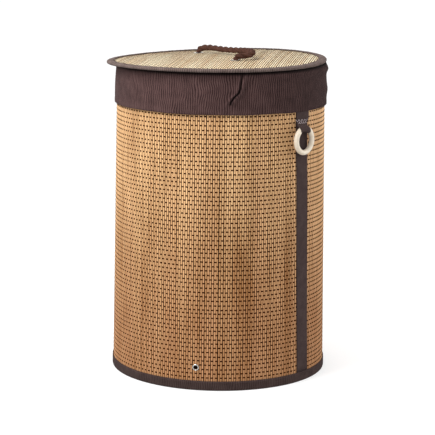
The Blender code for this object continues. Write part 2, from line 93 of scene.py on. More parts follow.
class Signal:
    """An output socket that takes part in Python expressions."""

    def __init__(self, shader: "Shader", socket: bpy.types.NodeSocket) -> None:
        """Wraps a socket.

        Args:
            shader: The material that the socket belongs to.
            socket: The output socket.
        """
        self.shader = shader
        self.socket = socket

    def math(self, operation: str, *values: "Signal | float") -> "Signal":
        """Adds a Math node.

        Args:
            operation: Blender's name for what it does.
            values: What goes into it, in order.

        Returns:
            Its result.
        """
        return self.shader.add("ShaderNodeMath", {"operation": operation}, dict(enumerate(values)))

    def __add__(self, other: "Signal | float") -> "Signal":
        """This plus another."""
        return self.math("ADD", self, other)

    def __radd__(self, other: float) -> "Signal":
        """A number plus this."""
        return self.math("ADD", other, self)

    def __sub__(self, other: "Signal | float") -> "Signal":
        """This less another."""
        return self.math("SUBTRACT", self, other)

    def __rsub__(self, other: float) -> "Signal":
        """A number less this."""
        return self.math("SUBTRACT", other, self)

    def __mul__(self, other: "Signal | float") -> "Signal":
        """This times another."""
        return self.math("MULTIPLY", self, other)

    def __rmul__(self, other: float) -> "Signal":
        """A number times this."""
        return self.math("MULTIPLY", other, self)

    def sine(self) -> "Signal":
        """Sine of this, in radians."""
        return self.math("SINE", self)

    def limited(self, low: float = 0.0, high: float = 1.0) -> "Signal":
        """This, kept between two numbers."""
        return self.math("MINIMUM", self.math("MAXIMUM", self, low), high)


class Shader:
    """Nodes of one material, which end in a Principled shader."""

    def __init__(self, name: str, roughness: float, **sockets: float | Color) -> None:
        """Makes the material.

        Args:
            name: Its name.
            roughness: Its roughness where nothing varies it.
            sockets: Other constant inputs of the Principled shader, with _ for a space.
        """
        self.material = bpy.data.materials.new(name)
        self.material.use_nodes = True
        self.tree = self.material.node_tree
        self.end = self.tree.nodes["Principled BSDF"]
        self.end.inputs["Roughness"].default_value = roughness
        for socket, value in sockets.items():
            self.end.inputs[socket.replace("_", " ")].default_value = value

    def add(
        self,
        kind: str,
        settings: dict[str, object] | None = None,
        values: dict[str | int, object] | None = None,
        output: int = 0,
    ) -> Signal:
        """Adds a node of any kind.

        Args:
            kind: Blender's name of the node's type.
            settings: Its own settings.
            values: A number, colour or Signal for each named or numbered input.
            output: Which of its outputs to use.

        Returns:
            That output.
        """
        node = self.tree.nodes.new(kind)
        for setting, value in (settings or {}).items():
            setattr(node, setting, value)
        for socket, value in (values or {}).items():
            if isinstance(value, Signal):
                self.tree.links.new(value.socket, node.inputs[socket])
            elif isinstance(value, tuple) and node.inputs[socket].type == "RGBA":
                node.inputs[socket].default_value = (*value, 1)
            else:
                node.inputs[socket].default_value = value
        return Signal(self, node.outputs[output])

    def place(self) -> Signal:
        """Where a point is on the piece, in metres."""
        return self.add("ShaderNodeTexCoord", output=3)

    def mapped(
        self, where: Signal, turn: float = 0.0, scale: Sequence[float] = (1, 1, 1)
    ) -> Signal:
        """Turns coordinates about Z, then stretches them.

        Args:
            where: The coordinates.
            turn: Angle in radians.
            scale: Factor along each axis.

        Returns:
            The new coordinates.
        """
        if turn:
            where = self.add("ShaderNodeMapping", {}, {"Vector": where, "Rotation": (0, 0, turn)})
        return self.add("ShaderNodeMapping", {}, {"Vector": where, "Scale": tuple(scale)})

    def noise(self, where: Signal, scale: float, detail: float = 2.0) -> Signal:
        """Soft random pattern from 0 to 1.

        Args:
            where: Coordinates.
            scale: Its fineness, in waves per metre.
            detail: How many finer layers it has.

        Returns:
            The pattern.
        """
        values = {"Vector": where, "Scale": scale, "Detail": detail}
        return self.add("ShaderNodeTexNoise", {}, values)

    def attribute(self, name: str) -> Signal:
        """A number stored on the mesh."""
        return self.add("ShaderNodeAttribute", {"attribute_name": name}, output=2)

    def mix(self, share: Signal | float, first: Signal | Color, second: Signal | Color) -> Signal:
        """Goes from one colour to another.

        Args:
            share: 0 for the first, 1 for the second.
            first: A colour.
            second: Another.

        Returns:
            The colour between them.
        """
        values = {0: share, 6: first, 7: second}
        return self.add("ShaderNodeMix", {"data_type": "RGBA"}, values, output=2)

    def finish(
        self, color: Signal, height: Signal, depth: float, roughness: Signal | None = None
    ) -> bpy.types.Material:
        """Joins the patterns to the Principled shader.

        Args:
            color: Its colour.
            height: Height pattern for its bump.
            depth: What one unit of height stands for, in metres.
            roughness: Its roughness, if that varies.

        Returns:
            The material.
        """
        values = {"Strength": 1.0, "Distance": depth, "Height": height}
        bump = self.add("ShaderNodeBump", {}, values)
        self.tree.links.new(color.socket, self.end.inputs["Base Color"])
        self.tree.links.new(bump.socket, self.end.inputs["Normal"])
        if roughness:
            self.tree.links.new(roughness.socket, self.end.inputs["Roughness"])
        return self.material


def paint(color: Color) -> Color:
    """Linear colour of a display colour.

    Args:
        color: Red, green and blue from 0 to 255.

    Returns:
        The colour that Blender's sockets take.
    """

    def linear(value: float) -> float:
        """Linear value of one channel.

        Args:
            value: The channel, from 0 to 255.

        Returns:
            The value.
        """
        share = value / 255
        return share / 12.92 if share <= 0.04045 else ((share + 0.055) / 1.055) ** 2.4

    red, green, blue = color
    return linear(red), linear(green), linear(blue)


@dataclass(frozen=True)
class BambooFinish:
    """Split bamboo, whose slats differ in tone. Its colours are display colours."""

    name: str
    pale: Color
    deep: Color
    rosy: Color
    # Colour of the painted shade on the slats' sides and backs.
    shade: Color
    heading: float | None = None

    def material(self) -> bpy.types.Material:
        """Makes the material, with its grain along Z, or along the heading on a flat mat."""
        shader = Shader(self.name, 0.5, Specular_IOR_Level=0.14)
        place = shader.place()
        if self.heading is None:
            along = shader.mapped(place, scale=(1, 1, 0.03))
            broad = shader.mapped(place, scale=(1, 1, 0.25))
        else:
            along = shader.mapped(place, -self.heading, (0.03, 1, 1))
            broad = shader.mapped(place, -self.heading, (0.25, 1, 1))
        fibres = shader.noise(along, 1500, 3)
        streaks = shader.noise(along, 420, 2)
        patches = shader.noise(broad, 20, 3)
        tone, rose, side, foot_shade_and_blush = map(shader.attribute, ("tone", "rose", "side", "foot_shade_and_blush"))
        # Painted shade: the wall darkens toward its foot, where it also turns rosier.
        lightness = (tone * 0.45 + patches * 1.1 + streaks * 0.55 - foot_shade_and_blush * 0.65 - 0.36).limited()
        deep = paint(self.deep)
        color = shader.mix(lightness, deep, paint(self.pale))
        blush = (rose * 0.4 + patches * 0.35 + foot_shade_and_blush * 0.45 - 0.28).limited()
        color = shader.mix(blush, color, paint(self.rosy))
        worn = shader.mix((fibres * 2.6 - 1.3).limited(0, 0.6), color, deep)
        # Painted shade: the slats' sides and backs, deeper in the mat, darken toward the shade
        # colour.
        shaded = shader.mix((side * 1.8 - 0.15).limited(0, 0.95), worn, paint(self.shade))
        return shader.finish(shaded, fibres, 0.00012, 0.42 + streaks * 0.22)


@dataclass(frozen=True)
class ClothFinish:
    """Plain weave cloth, or ribbed tape, in display colours."""

    name: str
    light: Color
    dark: Color
    threads: float = 1100.0
    round_threads: int = 1200
    slub: float = 0.8
    ribbed: bool = False

    def material(self) -> bpy.types.Material:
        """Makes the material, woven round and along Z, so that its threads follow the wall."""
        shader = Shader(
            self.name, 0.95, Specular_IOR_Level=0.04, Sheen_Weight=0.02, Sheen_Roughness=0.5
        )
        place = shader.place()
        split = shader.add("ShaderNodeSeparateXYZ", {}, {0: place})
        x, y, z = (Signal(shader, socket) for socket in split.socket.node.outputs)
        turn = y.math("ARCTAN2", y, x)
        radius = x.math("SQRT", x * x + y * y)
        fuzz = shader.noise(place, 900, 3)
        drift = shader.noise(place, 24, 2)
        round_it = (turn * self.round_threads + fuzz * 2).sine()
        up = ((z + radius) * (2 * math.pi * self.threads) + fuzz * 2).sine()
        weave = round_it if self.ribbed else round_it * up
        slubs = (turn * (self.round_threads // 4) + drift * 22).sine() * 0.5 + 0.5
        cloud = shader.noise(place, 60, 4)
        share = weave * 0.3 + slubs * self.slub * 0.5 + cloud * 0.7 + fuzz * 0.35 - 0.35
        dark = paint(self.dark)
        color = shader.mix(share.limited(), dark, paint(self.light))
        # Painted shade: the mesh's side attribute darkens the cloth toward a near-black copy of its
        # dark colour.
        painted_shade_color = tuple(channel * 0.12 for channel in dark)
        color = shader.mix(shader.attribute("side"), color, painted_shade_color)
        return shader.finish(color, weave * 0.6 + fuzz * 0.8, 0.00022, 0.85 + cloud * 0.12)


@dataclass(frozen=True)
class FibreFinish:
    """Twisted yarn of rope or thread, in display colours."""

    name: str
    light: Color
    dark: Color
    scale: float
    sheen: float = 0.0

    def material(self) -> bpy.types.Material:
        """Makes the material, with its fibres as fine streaks."""
        shader = Shader(self.name, 0.95, Specular_IOR_Level=0.02, Sheen_Weight=self.sheen)
        place = shader.place()
        yarn = shader.noise(shader.mapped(place, scale=(1, 1, 0.5)), self.scale, 4)
        cloud = shader.noise(place, self.scale / 8, 2)
        share = (yarn * 1.3 + cloud * 0.6 - 0.45).limited()
        color = shader.mix(share, paint(self.dark), paint(self.light))
        return shader.finish(color, yarn, 0.0005)


@dataclass(frozen=True)
class WoodFinish:
    """Smooth turned or pressed wood, in display colours."""

    name: str
    light: Color
    dark: Color
    roughness: float = 0.4

    def material(self) -> bpy.types.Material:
        """Makes the material, with a faint wavy grain."""
        shader = Shader(self.name, self.roughness, Specular_IOR_Level=0.4)
        place = shader.place()
        warp = shader.noise(shader.mapped(place, scale=(1, 0.25, 1)), 260, 3)
        grain = shader.noise(shader.mapped(place, scale=(1, 0.08, 1)), 1400, 3)
        share = (warp * 0.9 + grain * 0.6 - 0.35).limited()
        color = shader.mix(share, paint(self.dark), paint(self.light))
        return shader.finish(color, grain, 0.00006, self.roughness - 0.08 + warp * 0.2)


@dataclass(frozen=True)
class MetalFinish:
    """Plated or plain metal with faint scuffs, in a display colour."""

    name: str
    color: Color
    roughness: float

    def material(self) -> bpy.types.Material:
        """Makes the material."""
        shader = Shader(self.name, self.roughness, Metallic=1.0)
        place = shader.place()
        scuffs = shader.noise(shader.mapped(place, scale=(1, 1, 4)), 700, 4)
        tarnish = shader.noise(place, 150, 3)
        bright = paint(self.color)
        dull = tuple(channel * 0.75 for channel in bright)
        color = shader.mix((tarnish * 1.6 - 0.5).limited(), dull, bright)
        return shader.finish(color, scuffs, 0.00003, self.roughness - 0.1 + scuffs * 0.2)


class Finishes:
    """Every material of the hamper, made once."""

    def __init__(self, mat_heading: float) -> None:
        """Makes the materials.

        Args:
            mat_heading: Direction in which the lid's slats run.
        """
        # Colour of the painted shade in the gaps between slats.
        shade = (52, 23, 7)
        pale, deep, rosy = (242, 197, 144), (154, 105, 60), (205, 152, 110)
        self.wall = BambooFinish("wall_bamboo", pale, deep, rosy, shade).material()
        pale, deep, rosy = (255, 242, 208), (208, 164, 114), (242, 206, 168)
        self.lid = BambooFinish("lid_bamboo", pale, deep, rosy, shade, mat_heading).material()
        self.thread = FibreFinish("mat_thread", (66, 26, 0), (32, 10, 0), 2600).material()
        self.cuff = ClothFinish("liner_cloth", (100, 76, 74), (32, 20, 20), slub=1.3).material()
        tape = {"round_threads": 1300, "slub": 0.9, "ribbed": True}
        self.tape = ClothFinish("edge_tape", (136, 120, 113), (60, 47, 46), **tape).material()
        # A darker copy of the edge tape, as painted shade for the tape at the foot.
        self.shaded_foot_tape = ClothFinish("shaded_foot_tape", (92, 76, 72), (40, 29, 29), **tape).material()
        tape = {"round_threads": 1700, "slub": 0.1, "ribbed": True}
        self.ribbon = ClothFinish("seam_ribbon", (100, 84, 81), (58, 46, 45), **tape).material()
        self.stitch = FibreFinish("stitching", (92, 76, 74), (50, 38, 38), 3000).material()
        pale, deep = (216, 204, 204), (150, 134, 136)
        self.tack = FibreFinish("tack_stitching", pale, deep, 3000).material()
        self.rope = FibreFinish("rope_fibre", (96, 66, 56), (28, 15, 11), 900, 0.02).material()
        self.wood = WoodFinish("ring_wood", (240, 230, 214), (214, 198, 174)).material()
        self.board = WoodFinish("floor_board", (150, 122, 92), (112, 86, 60), 0.8).material()
        self.nickel = MetalFinish("nickel", (226, 222, 214), 0.25).material()
        self.steel = MetalFinish("spring_steel", (140, 140, 144), 0.35).material()


def polar(radius: float, angle: float, height: float) -> Vector:
    """The point at that radius, angle and height."""
    return Vector((radius * math.cos(angle), radius * math.sin(angle), height))


def outward(angle: float) -> Vector:
    """The level direction away from Z at that angle."""
    return Vector((math.cos(angle), math.sin(angle), 0))


def onward(away: Vector) -> Vector:
    """The level direction a quarter turn on from another."""
    return Vector((-away.y, away.x, 0))


def clamped(value: float) -> float:
    """The value, kept between 0 and 1."""
    return min(max(value, 0.0), 1.0)


def ease(value: float) -> float:
    """Goes smoothly from 0 to 1 as value does, and stays there."""
    value = clamped(value)
    return value * value * (3 - 2 * value)


def grid(across: int, along: int, size: float = 0.5) -> bmesh.types.BMesh:
    """Makes a level square sheet.

    Args:
        across: Faces along X.
        along: Faces along Y.
        size: Half its side.

    Returns:
        The sheet.
    """
    bm = bmesh.new()
    bmesh.ops.create_grid(bm, x_segments=across, y_segments=along, size=size)
    return bm


def add_piece(
    name: str,
    bm: bmesh.types.BMesh,
    finish: bpy.types.Material,
    body: Body,
    slot: Slot,
    stands_for: Sequence[str] = (),
    crease: float = 40.0,
) -> bpy.types.Object:
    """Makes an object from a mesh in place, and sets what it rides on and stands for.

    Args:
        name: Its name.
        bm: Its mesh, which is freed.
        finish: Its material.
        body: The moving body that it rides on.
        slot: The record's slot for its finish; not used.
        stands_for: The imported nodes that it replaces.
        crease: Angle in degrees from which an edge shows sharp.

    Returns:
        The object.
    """
    bmesh.ops.recalc_face_normals(bm, faces=bm.faces)
    mesh = bpy.data.meshes.new(name)
    bm.to_mesh(mesh)
    bm.free()
    mesh.shade_smooth()
    mesh.set_sharp_from_angle(angle=math.radians(crease))
    mesh.materials.append(finish)
    obj = bpy.data.objects.new(name, mesh)
    bpy.context.scene.collection.objects.link(obj)
    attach(obj, body.value)
    if stands_for:
        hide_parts(*stands_for)
    LOG.info("%s: %d faces on %s", name, len(mesh.polygons), body.value)
    return obj


def thicken(obj: bpy.types.Object, thickness: float, smooth: int = 0) -> None:
    """Gives a sheet its thickness, evenly to both sides, and may round it.

    Args:
        obj: The sheet.
        thickness: Thickness of its cloth.
        smooth: Subdivision levels.
    """
    solid = obj.modifiers.new("thickness", "SOLIDIFY")
    solid.thickness = thickness
    solid.offset = 0
    if smooth:
        rounded = obj.modifiers.new("rounded", "SUBSURF")
        rounded.levels = rounded.render_levels = smooth


def spun(profile: Outline, steps: int, closed: bool = True) -> bmesh.types.BMesh:
    """Turns an outline all the way round Z.

    Args:
        profile: Points as (radius, height).
        steps: Facets round it.
        closed: Whether the last point joins the first.

    Returns:
        The turned mesh.
    """
    bm = bmesh.new()
    points = [bm.verts.new((radius, 0, height)) for radius, height in profile]
    ends = points[1:] + points[:1] if closed else points[1:]
    edges = [bm.edges.new(pair) for pair in zip(points, ends)]
    bmesh.ops.spin(
        bm,
        geom=points + edges,
        cent=(0, 0, 0),
        axis=(0, 0, 1),
        angle=2 * math.pi,
        steps=steps,
        use_merge=True,
    )
    bmesh.ops.remove_doubles(bm, verts=bm.verts, dist=1e-6)
    return bm


def spun_mm(profile: Outline, steps: int, closed: bool = True) -> bmesh.types.BMesh:
    """Turns an outline in millimetres all the way round Z.

    Args:
        profile: Points as (radius, height).
        steps: Facets round it.
        closed: Whether the last point joins the first.

    Returns:
        The turned mesh.
    """
    return spun([(radius * MM, height * MM) for radius, height in profile], steps, closed)


def thread_section(width: float, thickness: float) -> Outline:
    """Section of a thread, as (across, out) points."""
    half, deep = width / 2, thickness / 2
    return [(-half, 0), (0, -deep), (half, 0), (0, deep)]


def bar(section: Outline, length: float, cuts: int) -> bpy.types.Mesh:
    """Makes a bar along +X from the origin, to be repeated and bent.

    Args:
        section: Its section as (y, z) points.
        length: Its length.
        cuts: How many cuts split it across.

    Returns:
        Its mesh.
    """
    bm = bmesh.new()
    face = bm.faces.new([bm.verts.new((0, y, z)) for y, z in section])
    grown = bmesh.ops.extrude_face_region(bm, geom=[face], use_keep_orig=True)["geom"]
    moved = [item for item in grown if isinstance(item, bmesh.types.BMVert)]
    bmesh.ops.translate(bm, verts=moved, vec=(length, 0, 0))
    long_edges = [edge for edge in bm.edges if edge.calc_length() > length * 0.99]
    bmesh.ops.subdivide_edges(bm, edges=long_edges, cuts=cuts)
    bmesh.ops.recalc_face_normals(bm, faces=bm.faces)
    mesh = bpy.data.meshes.new("bar")
    bm.to_mesh(mesh)
    bm.free()
    return mesh


def repeated(
    unit: bpy.types.Mesh,
    copies: Sequence[int],
    place: Callable[[int, Vector], Vector],
    shades: dict[str, Callable[[int, Vector], float]] | None = None,
) -> bmesh.types.BMesh:
    """Repeats a mesh, with every copy bent into its own place.

    Args:
        unit: The mesh, which is removed.
        copies: A number for each copy.
        place: Gives a point's place from its copy's number and its place in the unit.
        shades: For each named attribute, its value from the same two.

    Returns:
        All the copies in one mesh.
    """
    bm = bmesh.new()
    size = len(unit.vertices)
    for done, copy in enumerate(copies):
        bm.from_mesh(unit)
        layers = [
            (bm.verts.layers.float.get(name) or bm.verts.layers.float.new(name), value)
            for name, value in (shades or {}).items()
        ]
        bm.verts.ensure_lookup_table()
        for vert in bm.verts[done * size : (done + 1) * size]:
            for layer, value in layers:
                vert[layer] = value(copy, vert.co)
            vert.co = place(copy, vert.co)
    bpy.data.meshes.remove(unit)
    return bm


def stitches(
    points: Sequence[tuple[Vector, Vector, Vector]], length: float, thickness: float
) -> bmesh.types.BMesh:
    """Makes a run of short stitches.

    Args:
        points: For each stitch its middle, its direction and the way out of the cloth.
        length: Its length.
        thickness: Its thickness.

    Returns:
        The stitches in one mesh.
    """
    unit = bar(thread_section(thickness, thickness), length, 3)

    def place(index: int, point: Vector) -> Vector:
        """Lays one stitch, with its ends sunk into the cloth.

        Args:
            index: Number of the stitch.
            point: A point of the straight stitch.

        Returns:
            The point's place.
        """
        middle, ahead, out = points[index]
        share = point.x / length * 2 - 1
        sunk = point.z - thickness * share**4
        return middle + ahead * (point.x - length / 2) + out.cross(ahead) * point.y + out * sunk

    return repeated(unit, range(len(points)), place)


def ring_of_points(
    radius: float, height: float, count: int, lean: float = 0.0
) -> list[tuple[Vector, Vector, Vector]]:
    """Places for a run of stitches round Z.

    Args:
        radius: Radius of the run.
        height: Its height.
        count: How many stitches.
        lean: 0 where the cloth faces outwards, and a quarter turn where it faces up.

    Returns:
        For each its middle, its direction and the way out of the cloth.
    """
    made = []
    for index in range(count):
        angle = 2 * math.pi * index / count
        away = outward(angle)
        out = away * math.cos(lean) + Vector((0, 0, math.sin(lean)))
        made.append((away * radius + Vector((0, 0, height)), onward(away), out))
    return made


def cut_hole(
    bm: bmesh.types.BMesh,
    faces: set[bmesh.types.BMFace],
    centre: Vector,
    along: Vector,
    reach: float,
) -> None:
    """Cuts slats off on both sides of a hole, and takes away what lies in it.

    Args:
        bm: The slats.
        faces: Their faces near the hole.
        centre: Middle of the hole.
        along: Direction of the slats.
        reach: Radius of the hole.
    """
    for side in (-1, 1):
        geom = list(faces) + list({edge for face in faces for edge in face.edges})
        geom += list({vert for face in faces for vert in face.verts})
        cut = bmesh.ops.bisect_plane(
            bm, geom=geom, plane_co=centre + along * side * reach * 0.94, plane_no=along
        )
        faces = {item for item in cut["geom"] if isinstance(item, bmesh.types.BMFace)}
    gone = [face for face in faces if (face.calc_center_median() - centre).length < reach]
    bmesh.ops.delete(bm, geom=gone, context="FACES")


@dataclass
class Wall:
    """Shape of the wall that the other pieces follow."""

    rim_radius: float = 0.200
    flare: float = 0.008
    rim_height: float = 0.593

    def radius(self, height: float, offset: float = 0.0) -> float:
        """Radius of the mat's outer face at that height, moved out by offset."""
        return self.rim_radius + self.flare * (1 - height / self.rim_height) + offset

    def outline(self, profile: Outline) -> Outline:
        """Outline that follows the wall.

        Args:
            profile: Its points in millimetres, as (offset from the wall, height).

        Returns:
            Its points in metres, as (radius, height).
        """
        return [(self.radius(z * MM, offset * MM), z * MM) for offset, z in profile]


@dataclass
class Weave:
    """Thread rows through a mat of slats: over one, under the next."""

    pitch: float = 8.2 * MM
    width: float = 2.5 * MM
    thickness: float = 0.5 * MM
    reach: float = 0.78 * MM
    sink: float = 0.1 * MM

    def row(self, steps: int) -> bpy.types.Mesh:
        """A straight thread one metre long, with that many steps."""
        return bar(thread_section(self.width, self.thickness), 1.0, steps - 1)

    def swing(self, step: int, row: int) -> float:
        """How far out a thread lies, three steps to a slat, from 1 in front to -1 behind."""
        return 1.0 if (step + 3 * (row % 2)) % 6 < 4 else -1.0


def slat_section(half: float, deep: float) -> Outline:
    """Section of a slat, as (across, out) points: flat behind, and rounded in front.

    Args:
        half: Half its width.
        deep: Where its back is.

    Returns:
        The outline.
    """
    flat, brow = half * 0.62, deep * 0.4
    return [(-half, deep), (half, deep), (half, brow), (flat, 0), (-flat, 0), (-half, brow)]


def slat_shades(
    tones: Sequence[float], roses: Sequence[float], thickness: float
) -> dict[str, Callable[[int, Vector], float]]:
    """Attributes that the bamboo finish reads from every slat.

    Args:
        tones: How pale each slat is.
        roses: How rosy each slat is.
        thickness: Thickness of a slat.

    Returns:
        For each attribute, what gives its value.
    """
    return {
        "tone": lambda index, point: tones[index],
        "rose": lambda index, point: roses[index],
        # Painted shade: 0 on a slat's face, growing toward its back.
        "side": lambda index, point: -point.z / thickness,
    }


@dataclass
class WallMats:
    """The two half mats of upright slats, and the thread woven through them."""

    wall: Wall
    finishes: Finishes
    weave: Weave
    slats: int = 150
    gap: float = 0.7 * MM
    thickness: float = 1.3 * MM
    low_row: float = 24.5 * MM
    bare_top: float = 4 * MM
    # Share of the wall's height over which painted shade and a rosier tint grow toward the foot.
    foot_shade_share: float = 0.75
    hole_reach: float = 4.6 * MM
    hole_area: float = 12 * MM
    seed: int = 7

    def build(self) -> None:
        """Makes both half mats."""
        for side, start in (("front", math.pi), ("rear", 0.0)):
            low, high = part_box(f"wall_mat_{side}")
            self._slats(side, start, low.z, high.z)
            rows = int((high.z - self.bare_top - self.low_row) / self.weave.pitch) + 1
            half = rows // 2
            self._threads(f"wall_threads_{side}_low", start, range(half))
            self._threads(f"wall_threads_{side}_high", start, range(half, rows))

    def _slats(self, side: str, start: float, low: float, high: float) -> None:
        """Makes the slats of one half.

        Args:
            side: Which half.
            start: Angle at which it starts.
            low: Height of the slats' lower ends.
            high: Height of their upper ends.
        """
        dice = random.Random(self.seed + len(side))
        turn = math.pi / self.slats
        half = self.wall.rim_radius * turn / 2 - self.gap / 2
        count = self.slats
        shift = [dice.gauss(0, 0.10 * MM) for _ in range(count)]
        widths = [1 - abs(dice.gauss(0, 0.03)) for _ in range(count)]
        lifts = [dice.gauss(0, 0.09 * MM) for _ in range(count)]
        bends = [dice.choice((0.12, 0.2, 0.45)) * MM for _ in range(count)]
        tones = self._zoned([dice.gauss(0.5, 0.16) for _ in range(count)], dice, 0.35)
        roses = self._zoned([dice.gauss(0.35, 0.28) for _ in range(count)], dice, 0.35)

        def place(index: int, point: Vector) -> Vector:
            """Stands a slat up in the wall, a little bent and turned.

            Args:
                index: Number of the slat.
                point: A point of the bar.

            Returns:
                The point's place.
            """
            height = low + point.x
            bend = bends[index] * 2 * noise.noise(Vector((index * 0.7 + len(side), height * 9, 0)))
            across = point.y * widths[index] + shift[index] + bend
            angle = start + (index + 0.5) * turn + across / self.wall.rim_radius
            offset = point.z + lifts[index] - self.weave.sink
            return polar(self.wall.radius(height, offset), angle, height)

        shades = slat_shades(tones, roses, self.thickness)
        # Painted shade toward the wall's foot, with a rosier tint: 1 at the foot, fading to 0
        # higher up.
        shades["foot_shade_and_blush"] = lambda index, point: ease(1 - point.x / (self.foot_shade_share * (high - low)))
        unit = bar(slat_section(half, -self.thickness), high - low, 17)
        bm = repeated(unit, range(count), place, shades)
        if side == "front":
            self._open_hole(bm)
        name, node = f"wall_slats_{side}", f"wall_mat_{side}"
        add_piece(name, bm, self.finishes.wall, Body.BASKET, Slot.BAMBOO, [node], 25)

    def _open_hole(self, bm: bmesh.types.BMesh) -> None:
        """Cuts the slats away under the wall's eyelet.

        Args:
            bm: The slats.
        """
        low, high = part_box("wall_eyelet")
        centre = (low + high) / 2
        near = {vert for vert in bm.verts if (vert.co.xy - centre.xy).length < self.hole_area}
        faces = {face for vert in near for face in vert.link_faces}
        cut_hole(bm, faces, centre, Vector((0, 0, 1)), self.hole_reach)

    @staticmethod
    def _zoned(values: list[float], dice: random.Random, share: float) -> list[float]:
        """Adds slow changes along the mat to a value of each slat.

        Args:
            values: The values.
            dice: Source of chance.
            share: Size of the slow changes.

        Returns:
            The new values, between 0 and 1.
        """
        shift = dice.uniform(0, 100)
        return [
            clamped(value + share * noise.noise(Vector((shift + index * 0.11, 0.5, 0))))
            for index, value in enumerate(values)
        ]

    def _threads(self, name: str, start: float, rows: range) -> None:
        """Makes some of the thread rows of one half.

        Args:
            name: Name of the piece.
            start: Angle at which the half starts.
            rows: Numbers of the rows.
        """
        steps = 3 * self.slats
        dice = random.Random(self.seed + rows.start)
        sags = [dice.gauss(0, 0.25 * MM) for _ in range(rows.stop)]

        def place(row: int, point: Vector) -> Vector:
            """Lays a row round the wall, in and out of the slats.

            Args:
                row: Number of the row.
                point: A point of the straight thread.

            Returns:
                The point's place.
            """
            step = round(point.x * steps)
            angle = start + math.pi * (point.x + 0.5 / steps)
            drift = 0.35 * MM * math.sin(3.1 * point.x + row * 1.7)
            height = self.low_row + row * self.weave.pitch + sags[row] + drift + point.y
            middle = -self.thickness / 2 - self.weave.sink
            offset = middle + self.weave.reach * self.weave.swing(step, row) + point.z
            return polar(self.wall.radius(height, offset), angle, height)

        bm = repeated(self.weave.row(steps), rows, place)
        add_piece(name, bm, self.finishes.thread, Body.BASKET, Slot.BAMBOO, (), 80)


